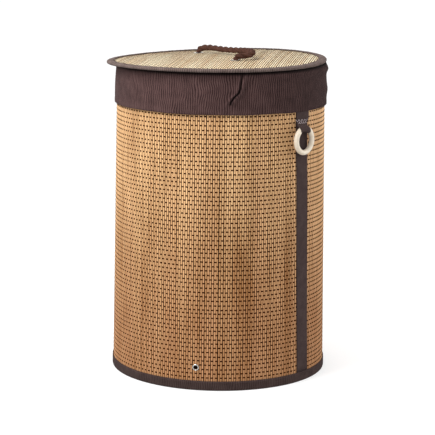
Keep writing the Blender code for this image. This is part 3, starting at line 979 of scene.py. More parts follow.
@dataclass
class WallTrim:
    """Tapes and strips of the wall, and its small eyelet."""

    wall: Wall
    finishes: Finishes
    tape: float = 1.2 * MM
    strip: float = 0.7 * MM
    strip_width: float = 33 * MM
    strip_lean: float = 4.4
    stitch_pitch: float = 3.2 * MM
    eyelet_angle: float = math.radians(-60.6)

    def build(self) -> None:
        """Makes every piece."""
        self._bottom_binding()
        self._top_binding()
        for side, middle, lean in (("right", 0.0, 1.0), ("left", math.pi, -0.6)):
            self._strip("seam_strip", side, middle, lean, 0.65 * MM)
            self._strip("seam_backing", side, middle, lean, -2.15 * MM)
        self._eyelet()

    def _bottom_binding(self) -> None:
        """Folded tape round the bottom edge, a little puckered by its stitching."""
        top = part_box("bottom_binding")[1].z
        profile = [
            (1.0, top / MM), (1.05, 14), (1.1, 10), (1.1, 6), (1.15, 2.6), (0.7, 1.0),
            (-0.6, 0.65), (-3.6, 0.65), (-4.9, 0.9), (-5.3, 2.4), (-5.3, 9), (-5.3, top / MM),
        ]
        bm = spun(self.wall.outline(profile), 300, closed=False)
        for vert in bm.verts:
            share = vert.co.z / top
            angle = math.atan2(vert.co.y, vert.co.x)
            pucker = noise.noise(vert.co * 160) * 0.35 + 0.2 * math.sin(angle * 120)
            vert.co.xy *= 1 + pucker * MM * share * (1.2 - share) / self.wall.rim_radius
            vert.co.z += 0.35 * MM * noise.noise(Vector((angle * 14, 2, 0))) * ease(share * 2 - 1)
        # The tape at the foot takes the darker copy of the edge tape, as painted shade.
        obj = add_piece(
            "bottom_tape", bm, self.finishes.shaded_foot_tape, Body.BASKET, Slot.TAPE, ["bottom_binding"]
        )
        thicken(obj, self.tape)
        around = 2 * math.pi * self.wall.radius(0)
        places = ring_of_points(self.wall.radius(top - 3 * MM, 1.75 * MM), top - 3.2 * MM, 400)
        run = stitches(places, STITCH, 0.45 * MM)
        seam = add_piece("bottom_tape_stitches", run, self.finishes.stitch, Body.BASKET, Slot.TAPE)

    def _top_binding(self) -> None:
        """Folded tape round the top edge, which the cuff hides."""
        low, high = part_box("top_binding")
        bottom, top = low.z / MM, high.z / MM
        profile = [
            (0.75, bottom), (0.75, bottom + 7), (0.75, top - 1.2), (0.1, top - 0.5),
            (-1.6, top - 0.4), (-3.9, top - 0.5), (-4.9, top - 1.4), (-4.95, bottom + 7),
            (-4.95, bottom),
        ]
        bm = spun(self.wall.outline(profile), 240, closed=False)
        obj = add_piece("top_tape", bm, self.finishes.tape, Body.BASKET, Slot.TAPE, ["top_binding"])
        thicken(obj, 0.7 * MM)
        around = 2 * math.pi * self.wall.radius(high.z)

    def _joint(self, middle: float, lean: float, height: float) -> float:
        """Angle of a strip's middle line at that height."""
        return middle + math.radians(self.strip_lean * (0.5 - height) - 0.2) * lean

    def _strip(self, kind: str, side: str, middle: float, lean: float, offset: float) -> None:
        """One sewn strip over the joint of the half mats, slightly off upright.

        Args:
            kind: Its name without its side.
            side: Its side.
            middle: Angle of the joint.
            lean: Which way and how much it leans, as a share of strip_lean.
            offset: How far its middle lies out of the mat's face.
        """
        node = f"{kind}_{side}"
        low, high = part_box(node)
        width = self.strip_width
        bm = grid(14, 90)
        for vert in bm.verts:
            across, share = vert.co.x, vert.co.y + 0.5
            height = low.z + (high.z - low.z) * share
            centre = self._joint(middle, lean, height)
            edge = abs(across * 2) ** 6
            wave = 0.25 * MM * noise.noise(Vector((height * 30, middle, across)))
            raised = offset + wave - (0.25 * MM * edge if offset > 0 else 0)
            sway = 0.35 * MM * noise.noise(Vector((height * 12, middle + 5, 0)))
            angle = centre + (across * width + sway) / self.wall.radius(height)
            vert.co = polar(self.wall.radius(height, raised), angle, height)
        name = f"{kind}_ribbon_{side}"
        obj = add_piece(name, bm, self.finishes.ribbon, Body.BASKET, Slot.RIBBON, [node])
        thicken(obj, self.strip)
        places = []
        count = int((high.z - low.z) / self.stitch_pitch)
        for line in (-1, 1) if offset > 0 else ():
            for index in range(count):
                height = low.z + (index + 0.5) * self.stitch_pitch
                centre = self._joint(middle, lean, height)
                angle = centre + line * (width / 2 - 2.4 * MM) / self.wall.radius(height)
                place = polar(self.wall.radius(height, offset + 0.42 * MM), angle, height)
                places.append((place, Vector((0, 0, 1)), outward(angle)))
        extras = []
        if places:
            run = stitches(places, STITCH, 0.4 * MM)
            name = f"{kind}_stitches_{side}"
            extras = [add_piece(name, run, self.finishes.stitch, Body.BASKET, Slot.RIBBON)]

    def _eyelet(self) -> None:
        """Nickel eyelet through the front mat, and its washer inside."""
        low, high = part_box("wall_eyelet")
        height = (low.z + high.z) / 2
        lean = math.atan2(self.wall.flare, self.wall.rim_height)
        turn = Matrix.Rotation(self.eyelet_angle, 4, "Z")
        turn = turn @ Matrix.Rotation(math.pi / 2 - lean, 4, "Y")
        middle = polar(self.wall.radius(height), self.eyelet_angle, height)
        place = Matrix.Translation(middle) @ turn
        flange = [
            (4.05, -2.7), (4.5, -2.7), (4.5, 0.35), (6.0, 0.35), (6.15, 0.6), (5.7, 1.05),
            (5.0, 1.25), (4.35, 1.0), (4.05, 0.3),
        ]
        washer = [(4.85, -2.7), (6.0, -2.7), (6.1, -2.3), (6.0, -2.05), (4.85, -2.05)]
        for name, profile in (("wall_eyelet", flange), ("wall_eyelet_washer", washer)):
            bm = spun_mm(profile, 48)
            bmesh.ops.transform(bm, matrix=place, verts=bm.verts)
            finish = self.finishes.nickel
            add_piece(f"{name}_ring", bm, finish, Body.BASKET, Slot.NICKEL, [name], 50)


@dataclass
class Floor:
    """Base cloth, and the loose stiff board with its cloth top and tabs."""

    wall: Wall
    finishes: Finishes

    def build(self) -> None:
        """Makes the soft pieces, and gives the board its finish."""
        for node, material in (
            ("floor_board", self.finishes.board),
            ("bottom_hoop", self.finishes.steel),
            ("top_hoop", self.finishes.steel),
        ):
            obj = bpy.data.objects[node]
            obj.data.materials.clear()
            obj.data.materials.append(material)
        self._round_cloth("base_cloth", self.finishes.tape, Slot.TAPE, "base_cloth_round")
        self._round_cloth("floor_cover", self.finishes.cuff, Slot.LINER, "floor_cover_round")
        for side in ("front", "rear"):
            self._tab(side)

    def _round_cloth(self, node: str, finish: bpy.types.Material, slot: Slot, name: str) -> None:
        """A round of cloth in place of a packed disc.

        Args:
            node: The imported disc.
            finish: Its material.
            slot: Its slot in the record.
            name: Name of the piece.
        """
        low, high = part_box(node)
        radius, middle = high.x, (low.z + high.z) / 2
        profile = [(radius * share / 10, middle) for share in range(11)]
        bm = spun(profile, 120, closed=False)
        obj = add_piece(name, bm, finish, Body.BASKET, slot, [node])
        thicken(obj, high.z - low.z)

    def _tab(self, side: str) -> None:
        """Ribbon tab for lifting the board.

        Args:
            side: Which tab.
        """
        node = f"floor_tab_{side}"
        low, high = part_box(node)
        size = high - low
        bm = grid(10, 28)
        for vert in bm.verts:
            lift = 0.12 * MM * noise.noise(Vector((vert.co.x * 3, vert.co.y * 9, low.y)))
            vert.co.x = (low.x + high.x) / 2 + vert.co.x * size.x
            vert.co.y = (low.y + high.y) / 2 + vert.co.y * size.y
            vert.co.z = (low.z + high.z) / 2 + lift
        ribbon = self.finishes.ribbon
        obj = add_piece(f"{node}_ribbon", bm, ribbon, Body.BASKET, Slot.TAPE, [node])
        thicken(obj, 0.6 * MM)


@dataclass
class RingStrap:
    """Ribbon from under the cuff round a wooden ring, gathered and tacked above it."""

    wall: Wall
    finishes: Finishes
    side: str
    body: Body
    turn: float
    top_width: float = 37 * MM
    loop_width: float = 28 * MM
    ring_radius: float = 22.7 * MM
    tube_radius: float = 5.1 * MM
    loop_radius: float = 6.0 * MM
    tab_side: float = 1.0 * MM
    loop_side: float = -5.4 * MM
    ring_side: float = -3.8 * MM
    tack_length: float = 5.2 * MM
    tack_thickness: float = 0.95 * MM

    def build(self) -> None:
        """Makes the ribbon, its tack stitches and the ring."""
        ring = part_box(f"handle_ring_{self.side}")
        self.ring_top = ring[1].z - self.tube_radius
        self.ring_out = (abs(ring[0].x) + abs(ring[1].x)) / 2
        strap = self._ribbon()
        tack = self._tack()
        self._ring()

    def _turn(self, bm: bmesh.types.BMesh) -> None:
        """Turns a mesh made on +X to the strap's own side."""
        bmesh.ops.rotate(bm, verts=bm.verts, matrix=Matrix.Rotation(self.turn, 3, "Z"))

    def _path(self) -> list[tuple[float, float, float]]:
        """Middle line of the ribbon.

        Returns:
            Its points, as (distance from the axis, height, width).
        """
        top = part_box(f"ring_strap_{self.side}")[1].z
        path = []
        for step in range(9):
            share = step / 8
            height = top - share * (top - self.ring_top - 15 * MM)
            path.append((self.wall.radius(height, 1.7 * MM), height, self.top_width))
        start = path[-1]
        first = (self.ring_out - self.loop_radius, self.ring_top)
        for share in (0.35, 0.7):
            radius = start[0] + (first[0] - start[0]) * ease(share)
            height = start[1] + (first[1] - start[1]) * share
            width = start[2] + (self.loop_width - start[2]) * ease(share * 1.6)
            path.append((radius, height, width))
        for step in range(19):
            angle = math.pi + math.radians(285) * step / 18
            radius = self.ring_out + self.loop_radius * math.cos(angle)
            height = self.ring_top + self.loop_radius * math.sin(angle)
            path.append((radius, height, self.loop_width))
        for height, offset in ((8.5, 5.0), (12.0, 3.6), (16.5, 3.0)):
            z = self.ring_top + height * MM
            path.append((self.wall.radius(z, offset * MM), z, self.loop_width * 1.08))
        return path

    def _ribbon(self) -> bpy.types.Object:
        """Makes the ribbon.

        Returns:
            The ribbon.
        """
        path = self._path()
        bm = grid(18, len(path) - 1)
        for vert in bm.verts:
            row = round((vert.co.y + 0.5) * (len(path) - 1))
            radius, height, width = path[row]
            across = vert.co.x * width
            near = math.exp(-(((height - self.ring_top - 11 * MM) / (7 * MM)) ** 2))
            gather = 0.45 * MM * near * math.cos(vert.co.x * 34)
            if row > 10:
                drop = self.ring_radius - math.sqrt(self.ring_radius**2 - across**2)
                height -= drop * math.exp(-max(0.0, height - self.ring_top - 4 * MM) / (5 * MM))
            narrowed = (self.top_width - width) / (self.top_width - self.loop_width)
            aside = self.tab_side + (self.loop_side - self.tab_side) * ease(narrowed)
            angle = (across + aside) / radius
            vert.co = polar(radius + gather, angle, height)
        self._turn(bm)
        name, node = f"ring_ribbon_{self.side}", f"ring_strap_{self.side}"
        obj = add_piece(name, bm, self.finishes.ribbon, Body.BASKET, Slot.RIBBON, [node], 60)
        thicken(obj, 0.7 * MM, 1)
        return obj

    def _tack(self) -> bpy.types.Object:
        """Zigzag of pale thread that holds the gathers.

        Returns:
            The stitches.
        """
        dice = random.Random(11)
        places = []
        for row in range(2):
            for index in range(8):
                across = (index / 7 - 0.5) * self.loop_width * (1.05 - 0.3 * row)
                height = self.ring_top + (14.4 - row * 4.6 + dice.uniform(-0.5, 0.5)) * MM
                slant = (0.95 if (index + row) % 2 else -0.95) + dice.uniform(-0.2, 0.2)
                radius = self.wall.radius(height, (4.6 + 1.1 * row) * MM)
                angle = (across + self.loop_side + 0.6 * row * MM) / radius
                out = outward(angle)
                ahead = onward(out) * math.cos(slant) + Vector((0, 0, math.sin(slant)))
                places.append((polar(radius, angle, height), ahead, out))
        bm = stitches(places, self.tack_length, self.tack_thickness)
        self._turn(bm)
        return add_piece(f"ring_tack_{self.side}", bm, self.finishes.tack, Body.BASKET, Slot.RIBBON)

    def _ring(self) -> None:
        """Turned wooden ring, a little flattened on its inner side."""
        profile = []
        for step in range(24):
            angle = 2 * math.pi * step / 24
            across = self.tube_radius * math.cos(angle)
            if across < 0:
                across *= 0.92
            profile.append((self.ring_radius + across, self.tube_radius * math.sin(angle)))
        bm = spun(profile, 96)
        upright = Matrix.Rotation(math.pi / 2, 4, "Y")
        centre = Vector((self.ring_out, self.ring_side, self.ring_top - self.ring_radius))
        bmesh.ops.transform(bm, matrix=Matrix.Translation(centre) @ upright, verts=bm.verts)
        self._turn(bm)
        name, node = f"wood_ring_{self.side}", f"handle_ring_{self.side}"
        add_piece(name, bm, self.finishes.wood, self.body, Slot.WOOD, [node], 60)


@dataclass
class LidFrame:
    """Where the loose lid lies: off centre, and tilted by the bunched cuff."""

    shift: float = 8.5 * MM
    tilt: float = math.radians(1.64)
    heading: float = math.radians(41)
    height: float = 0.59905
    rim: float = 0.212

    def matrix(self) -> Matrix:
        """From the lid's own frame, on its underside, to the model's."""
        away = outward(self.heading)
        place = Matrix.Translation(away * -self.shift + Vector((0, 0, self.height)))
        return place @ Matrix.Rotation(-self.tilt, 4, onward(away))

    def warp(self, angle: float, radius: float) -> float:
        """How far the lid has bent up from its flat shape at a point over the rim.

        Args:
            angle: The point's angle.
            radius: Its radius.

        Returns:
            The rise, which is below zero where the lid sags.
        """
        share = radius / self.rim
        tipped = -1.45 * math.cos(angle) - 1.0 * math.sin(angle)
        return (share * tipped - share**2 * (1.0 + 2.0 * math.cos(2 * angle))) * MM

    def settle(self, point: Vector) -> Vector:
        """Takes a point of the flat lid to its place on the bent one.

        Args:
            point: The point in the lid's own frame.

        Returns:
            Its place in the model's frame.
        """
        placed = self.matrix() @ point
        placed.z += self.warp(math.atan2(placed.y, placed.x), placed.xy.length)
        return placed

    def settle_all(self, bm: bmesh.types.BMesh) -> None:
        """Takes a whole mesh of the flat lid to its place on the bent one."""
        for vert in bm.verts:
            vert.co = self.settle(vert.co)

    def underside(self, angle: float, radius: float) -> float:
        """Height of the lid's underside over a point of the rim.

        Args:
            angle: The point's angle.
            radius: Its radius.

        Returns:
            The height.
        """
        ahead = radius * math.cos(angle - self.heading)
        flat = self.height + math.tan(self.tilt) * (ahead + self.shift)
        return flat + self.warp(angle, radius)


@dataclass
class Liner:
    """Cloth bag inside the wall, with its cuff folded over the rim and down outside."""

    wall: Wall
    finishes: Finishes
    lid: LidFrame
    cloth: float = 0.8 * MM
    shown_cloth: float = 0.7 * MM
    steps: int = 560
    hem_stitches: int = 430
    hem_width: float = 8 * MM
    dense_share: float = 0.3
    dense_middle: float = math.radians(-40)
    dense_width: float = math.radians(30)
    crease: tuple[tuple[float, float], ...] = (
        (-37.6, 0.600), (-38.3, 0.584), (-38.8, 0.570), (-39.6, 0.561), (-42.0, 0.553),
        (-43.6, 0.545), (-44.2, 0.536),
    )

    def build(self) -> None:
        """Makes the bag and the cuff."""
        self._bag()
        self._cuff()

    def _bag(self) -> None:
        """Side and bottom of the bag, with soft upright folds."""
        low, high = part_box("liner_side")
        radius = high.x - self.cloth / 2
        count, inset = 40, 0.3 * MM
        span = high.z - low.z - 2 * inset
        profile = [(radius, low.z + inset + span * index / count) for index in range(count + 1)]
        bm = spun(profile, 240, closed=False)
        for vert in bm.verts:
            angle = math.atan2(vert.co.y, vert.co.x)
            share = (vert.co.z - low.z) / (high.z - low.z)
            loose = math.sin(math.pi * share) ** 0.6 if 0 < share < 1 else 0
            fold = 0.5 + 0.5 * noise.noise(polar(5, angle, share * 2))
            vert.co.xy *= 1 - 2.6 * MM * fold * loose / radius
        cloth = self.finishes.cuff
        side = add_piece("liner_bag", bm, cloth, Body.LINER, Slot.LINER, ["liner_side"])
        thicken(side, self.shown_cloth)
        low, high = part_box("liner_bottom")
        middle = (low.z + high.z) / 2
        bm = spun([(high.x * share / 12, middle) for share in range(13)], 120, closed=False)
        bottom = add_piece("liner_base", bm, cloth, Body.LINER, Slot.LINER, ["liner_bottom"])
        thicken(bottom, self.shown_cloth)

    def _profile(self) -> list[tuple[float, float, float]]:
        """Outline of the cuff, from inside the bag over the rim to the hem.

        Returns:
            Its points, as (offset from the wall, height, share of the lid's lift).
        """
        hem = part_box("liner_cuff")[0].z
        top = self.wall.rim_height - self.cloth / 2
        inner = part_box("liner_side")[1].x - self.cloth / 2 - self.wall.rim_radius
        path = [(inner, top - 19.5 * MM + 3.6 * MM * step, 0.0) for step in range(5)]
        path += [(inner + 0.3 * MM, top - 2.2 * MM, 0.5), (inner + 1.2 * MM, top - 0.4 * MM, 1.0)]
        path += [(share * MM, top, 1.0) for share in (-4.2, -2.6, -1.0)]
        path += [(0.6 * MM, top - 0.1 * MM, 1.0), (1.5 * MM, top - 0.9 * MM, 0.95)]
        count = 32
        for step in range(count + 1):
            share = step / count
            height = top - 2.6 * MM - share * (top - 2.6 * MM - hem)
            offset = (1.9 + 1.6 * ease(share * 1.9)) * MM
            path.append((offset, height, max(0.0, 0.85 - 2.4 * share)))
        return path

    def _warped(self, share: float) -> float:
        """Angle for an even share of the turn, with closer spacing near the crease.

        Args:
            share: Share of the turn.

        Returns:
            The angle.
        """
        half = self.dense_width / 2
        share = share % 1
        if share < self.dense_share:
            return self.dense_middle - half + share / self.dense_share * self.dense_width
        rest = (share - self.dense_share) / (1 - self.dense_share)
        return self.dense_middle + half + rest * (2 * math.pi - self.dense_width)

    def _crease(self, angle: float, height: float) -> tuple[float, float]:
        """The slanting fold, which lies over its own left side.

        Args:
            angle: Angle of a point on the cuff.
            height: Its height.

        Returns:
            How far it moves the cloth out, and how much painted shade lies in its groove, from 0 to
            1.
        """
        turn = math.degrees((angle + math.pi) % (2 * math.pi) - math.pi)
        top, foot = self.crease[0][1], self.crease[-1][1]
        if height <= foot or abs(turn + 41) > 12:
            return 0.0, 0.0
        path = self.crease
        height = min(height, top)
        index = max(row for row in range(len(path) - 1) if path[row][1] >= height)
        (first, high), (second, low) = path[index : index + 2]
        line = first + (second - first) * (high - height) / (high - low)
        away = math.radians(turn - line) * self.wall.rim_radius
        strength = ease((height - foot) / (8 * MM))
        groove = -5.0 * math.exp(-((away / (1.5 * MM)) ** 2))
        ridge = 4.6 * math.exp(-(((away - 4.2 * MM) / (2.6 * MM)) ** 2))
        lip = 2.4 * math.exp(-(((away + 4.4 * MM) / (3.0 * MM)) ** 2))
        wide = (1.5 + 1.3 * ease((0.570 - height) / (10 * MM))) * MM
        # Painted shade inside the groove.
        dark = 0.95 * math.exp(-(((away + 0.2 * MM) / wide) ** 2))
        return (groove + ridge + lip) * MM * strength, dark * ease(strength * 2)

    def _slack(self, angle: float, height: float, hem: float) -> float:
        """How far the cuff stands off its even shape at a point outside the wall.

        Args:
            angle: The point's angle.
            height: Its height.
            hem: Height of the cuff's lower edge.

        Returns:
            The distance.
        """
        down = (self.wall.rim_height - height) / (self.wall.rim_height - hem)
        round_it = outward(angle)
        wide = noise.noise(round_it * 3.5 + Vector((0, 0, height * 9))) * 1.1
        ripples = noise.noise(round_it * 11 + Vector((3, 0, height * 22))) * 0.55
        fine = noise.noise(round_it * 34 + Vector((0, 5, height * 30))) * 0.22
        side = math.cos(angle - math.radians(38))
        puff = 4.4 * math.exp(-(((height - 0.589) / (7 * MM)) ** 2)) * ease(side * 2.2 - 0.9)
        lower_puff = 1.6 * math.exp(-(((height - 0.548) / (9 * MM)) ** 2)) * ease(side * 2.2 - 1)
        hem_line = 0.35 * ease((hem + 8.5 * MM - height) / (1.5 * MM))
        return ((wide + ripples + fine) * ease(down * 3) + puff + lower_puff + hem_line) * MM

    @staticmethod
    def _sag(angle: float) -> float:
        """How the hem wanders up and down round the cuff, from -1 to 1."""
        return noise.noise(polar(2.5, angle, 4))

    def _cuff(self) -> None:
        """The cuff, its hem and the hem's stitches."""
        path = self._profile()
        hem = path[-1][1]
        outline = [(self.wall.rim_radius + row * MM, 0.0) for row in range(len(path))]
        bm = spun(outline, self.steps, closed=False)
        # This attribute holds painted shade for the cloth finish: under the lid's edge, in the
        # crease and on the bunched side.
        shade = bm.verts.layers.float.new("side")
        for vert in bm.verts:
            row = round((vert.co.xy.length - self.wall.rim_radius) / MM)
            share = math.atan2(vert.co.y, vert.co.x) / (2 * math.pi)
            angle = self._warped(round(share * self.steps) / self.steps)
            offset, height, lift = path[row]
            radius = self.wall.radius(height, offset)
            raised = self.lid.underside(angle, radius) - 0.5 * MM - self.wall.rim_height
            height += lift * raised
            under_lid = self.wall.rim_height + raised - height
            # Painted shade: the cuff's bunched side, toward the lid's heading, is darkened.
            bunched = 0.45 * ease(math.cos(angle - self.lid.heading))
            # Painted shadow: a dark band on the cuff's outside just under the lid's edge.
            vert[shade] = max(bunched, 0.94 * ease(1.35 - under_lid / (6 * MM)) * (row > 9))
            if row > 10:
                # The crease's painted shade joins the other painted shade.
                moved, dark = self._crease(angle, height)
                radius += self._slack(angle, height, hem) + moved
                vert[shade] = max(vert[shade], dark)
                radius = max(radius, self.wall.radius(height, 1.2 * MM))
                height += 1.3 * MM * self._sag(angle) * ease((row - 12) / 30)
            vert.co = polar(radius, angle, height)
        obj = add_piece("cuff", bm, self.finishes.cuff, Body.LINER, Slot.LINER, ["liner_cuff"], 70)
        thicken(obj, self.shown_cloth)
        places = []
        for index in range(self.hem_stitches):
            angle = 2 * math.pi * index / self.hem_stitches
            height = hem + self.hem_width
            offset = 3.5 * MM + self.shown_cloth / 2 + self._slack(angle, height, hem)
            height += 1.2 * MM * self._sag(angle)
            place = polar(self.wall.radius(height, offset), angle, height)
            places.append((place, onward(outward(angle)), outward(angle)))
        run = stitches(places, 2.0 * MM, 0.4 * MM)
        seam = add_piece("cuff_stitches", run, self.finishes.stitch, Body.LINER, Slot.LINER)


@dataclass
class Lid:
    """Loose lid: crowned slat mat in a folded tape, with two rope holes."""

    frame: LidFrame
    finishes: Finishes
    weave: Weave
    radius: float = 212 * MM
    tape_width: float = 15 * MM
    mat_radius: float = 206.8 * MM
    crown: float = 5 * MM
    mat_edge: float = 3 * MM
    slat_pitch: float = 4.05 * MM
    slat_heading: float = math.radians(123)
    thickness: float = 1.3 * MM
    hole_span: float = 170 * MM
    hole_heading: float = math.radians(156)
    hole_reach: float = 6.8 * MM
    hole_area: float = 40 * MM
    seed: int = 3

    def build(self) -> None:
        """Makes the lid's pieces."""
        self._slats()
        self._threads()
        self._hoop()
        self._binding()
        for label, way in (("a", -1), ("b", 1)):
            self._hole(label, way)

    def mat_top(self, distance: float) -> float:
        """Height of the mat's upper face over the lid's underside, that far from the middle."""
        inner = self.radius - self.tape_width
        return self.mat_edge + 1.5 * MM + self.crown * (1 - (distance / inner) ** 2)

    def hole(self, way: int) -> Vector:
        """Middle of a rope hole, at the mat's upper face.

        Args:
            way: Which side of the lid's middle it is on.

        Returns:
            The place in the lid's frame.
        """
        place = outward(self.hole_heading) * (way * self.hole_span / 2)
        return place + Vector((0, 0, self.mat_top(self.hole_span / 2)))

    def _slats(self) -> None:
        """Slats side by side, cut to a round and bent over the crown."""
        dice = random.Random(self.seed)
        count = int(2 * self.mat_radius / self.slat_pitch)
        half = self.slat_pitch / 2 - 0.44 * MM
        shift = [dice.gauss(0, 0.1 * MM) for _ in range(count)]
        widths = [1 - abs(dice.gauss(0, 0.04)) for _ in range(count)]
        lifts = [dice.gauss(0, 0.08 * MM) for _ in range(count)]
        tones = [clamped(dice.gauss(0.6, 0.22)) for _ in range(count)]
        roses = [clamped(dice.gauss(0.3, 0.25)) for _ in range(count)]
        shades = slat_shades(tones, roses, self.thickness)
        turn = Matrix.Rotation(self.slat_heading, 4, "Z")
        first = -(count - 1) / 2 * self.slat_pitch

        def place(index: int, point: Vector) -> Vector:
            """Lays a slat across the lid.

            Args:
                index: Number of the slat.
                point: A point of the bar.

            Returns:
                The point's place.
            """
            line = first + index * self.slat_pitch
            chord = math.sqrt(max(self.mat_radius**2 - line**2, (6 * MM) ** 2))
            along = (point.x - 0.5) * 2 * chord
            across = line + point.y * widths[index] + shift[index]
            top = self.mat_top(math.hypot(along, across))
            height = top + point.z + lifts[index] - self.weave.sink
            return self.frame.settle(turn @ Vector((along, across, height)))

        unit = bar(slat_section(half, -self.thickness), 1.0, 23)
        bm = repeated(unit, range(count), place, shades)
        self._open_holes(bm)
        add_piece("lid_slats", bm, self.finishes.lid, Body.LID, Slot.BAMBOO, ["lid_mat"], 25)

    def _open_holes(self, bm: bmesh.types.BMesh) -> None:
        """Cuts the slats away under the eyelets.

        Args:
            bm: The slats.
        """
        for way in (-1, 1):
            centre = self.frame.settle(self.hole(way))
            near = {vert for vert in bm.verts if (vert.co.xy - centre.xy).length < self.hole_area}
            faces = {face for vert in near for face in vert.link_faces}
            cut_hole(bm, faces, centre, outward(self.slat_heading), self.hole_reach)

    def _threads(self) -> None:
        """Thread rows across the slats."""
        count = int(2 * self.mat_radius / self.slat_pitch)
        steps = 3 * count
        rows = int(2 * (self.mat_radius - 6 * MM) / self.weave.pitch)
        turn = Matrix.Rotation(self.slat_heading + math.pi / 2, 4, "Z")
        first = -(rows - 1) / 2 * self.weave.pitch
        whole = count * self.slat_pitch

        def place(row: int, point: Vector) -> Vector:
            """Lays a row in and out of the slats, drawn in where the round ends.

            Args:
                row: Number of the row.
                point: A point of the straight thread.

            Returns:
                The point's place.
            """
            line = first + row * self.weave.pitch + 0.3 * MM * math.sin(row * 2.3 + point.x * 3)
            chord = math.sqrt(self.mat_radius**2 - line**2)
            step = round(point.x * steps)
            along = min(max((point.x - 0.5) * whole, -chord), chord)
            swing = self.weave.swing(step, row)
            top = self.mat_top(math.hypot(along, line))
            middle = top - self.thickness / 2 - self.weave.sink
            height = middle + self.weave.reach * swing + point.z
            return self.frame.settle(turn @ Vector((along, line + point.y, height)))

        bm = repeated(self.weave.row(steps), range(rows), place)
        bmesh.ops.remove_doubles(bm, verts=bm.verts, dist=1e-6)
        add_piece("lid_threads", bm, self.finishes.thread, Body.LID, Slot.BAMBOO, (), 80)

    def _binding(self) -> None:
        """Folded tape round the lid's edge."""
        rim, inner = self.radius / MM, (self.radius - self.tape_width) / MM
        profile = [
            (inner, 5.7), (inner + 4, 5.75), (rim - 6.5, 5.75), (rim - 3.4, 5.6), (rim - 1.5, 5.0),
            (rim - 0.55, 3.9), (rim - 0.4, 2.9), (rim - 0.7, 1.7), (rim - 1.8, 0.8),
            (rim - 3.6, 0.4), (rim - 8, 0.9), (inner, 1.8),
        ]
        bm = spun_mm(profile, 360, closed=False)
        for vert in bm.verts:
            angle = math.atan2(vert.co.y, vert.co.x)
            pucker = 0.16 * math.sin(angle * 150 + 2 * noise.noise(vert.co * 20))
            pucker += 0.3 * noise.noise(vert.co * 90)
            vert.co.z += pucker * MM * (1 if vert.co.z > 3 * MM else -0.4)
        self.frame.settle_all(bm)
        obj = add_piece("lid_tape", bm, self.finishes.tape, Body.LID, Slot.TAPE, ["lid_binding"])
        thicken(obj, 0.75 * MM)
        line = self.radius - self.tape_width + 2.2 * MM
        places = ring_of_points(line, 6.2 * MM, 390, math.pi / 2)
        run = stitches(places, STITCH, 0.42 * MM)
        self.frame.settle_all(run)
        seam = add_piece("lid_tape_stitches", run, self.finishes.stitch, Body.LID, Slot.TAPE)
        around = 2 * math.pi * (self.radius - 4 * MM)

    def _hoop(self) -> None:
        """Steel hoop inside the tape, bent with the lid."""
        middle, wire = self.radius / MM - 3.4, 1.5
        angles = [2 * math.pi * step / 10 for step in range(10)]
        profile = [
            (middle + wire * math.cos(angle), 3.0 + wire * math.sin(angle)) for angle in angles
        ]
        bm = spun_mm(profile, 180)
        self.frame.settle_all(bm)
        add_piece("lid_wire", bm, self.finishes.steel, Body.LID, Slot.STEEL, ["lid_hoop"], 80)

    def _hole(self, label: str, way: int) -> None:
        """One rope hole: its eyelet, and the rope's stem with the knot under it.

        Args:
            label: Its letter.
            way: Which side of the lid's middle it is on.
        """
        flat = self.frame.matrix() @ Matrix.Translation(self.hole(way))
        sag = self.frame.settle(self.hole(way)) - flat.translation
        matrix = Matrix.Translation(sag) @ flat
        profile = [
            (5.45, -2.75), (9.3, -2.8), (9.45, -2.3), (6.2, -2.05), (6.2, 0.5), (9.2, 0.55),
            (9.45, 0.85), (8.8, 1.25), (7.3, 1.5), (6.0, 1.35), (5.45, 0.8),
        ]
        bm = spun_mm(profile, 48)
        bmesh.ops.transform(bm, matrix=matrix, verts=bm.verts)
        node = f"lid_eyelet_{label}"
        add_piece(f"{node}_ring", bm, self.finishes.nickel, Body.LID, Slot.NICKEL, [node], 50)
        self._knot(label, matrix)

    def _knot(self, label: str, matrix: Matrix) -> None:
        """Stopper knot and stem, with the strands' twist.

        Args:
            label: The hole's letter.
            matrix: Place of the hole.
        """
        top, span = -3.1, 14.0
        profile = [(0.01, top - span)]
        for degrees in range(-75, 61, 15):
            angle = math.radians(degrees)
            profile.append((9.6 * math.cos(angle), top - span / 2 + 7.0 * math.sin(angle)))
        profile += [(4.6, top), (4.5, top + 2), (4.5, 2), (4.5, 5.6), (3.2, 6.4), (0.01, 6.6)]
        bm = spun_mm(profile, 48, closed=False)
        for vert in bm.verts:
            radius = vert.co.xy.length
            if radius < 1 * MM:
                continue
            angle = math.atan2(vert.co.y, vert.co.x)
            in_knot = vert.co.z < top * MM
            lobes, twist = (5, 190) if in_knot else (3, 180)
            depth = 0.10 if in_knot else 0.09
            ridge = abs(math.sin((angle * lobes + vert.co.z * twist) / 2))
            vert.co.xy *= 1 + depth * (ridge - 0.75)
        bmesh.ops.transform(bm, matrix=matrix, verts=bm.verts)
        node = f"rope_knot_{label}"
        add_piece(f"{node}_twist", bm, self.finishes.rope, Body.LID, Slot.ROPE, [node], 60)


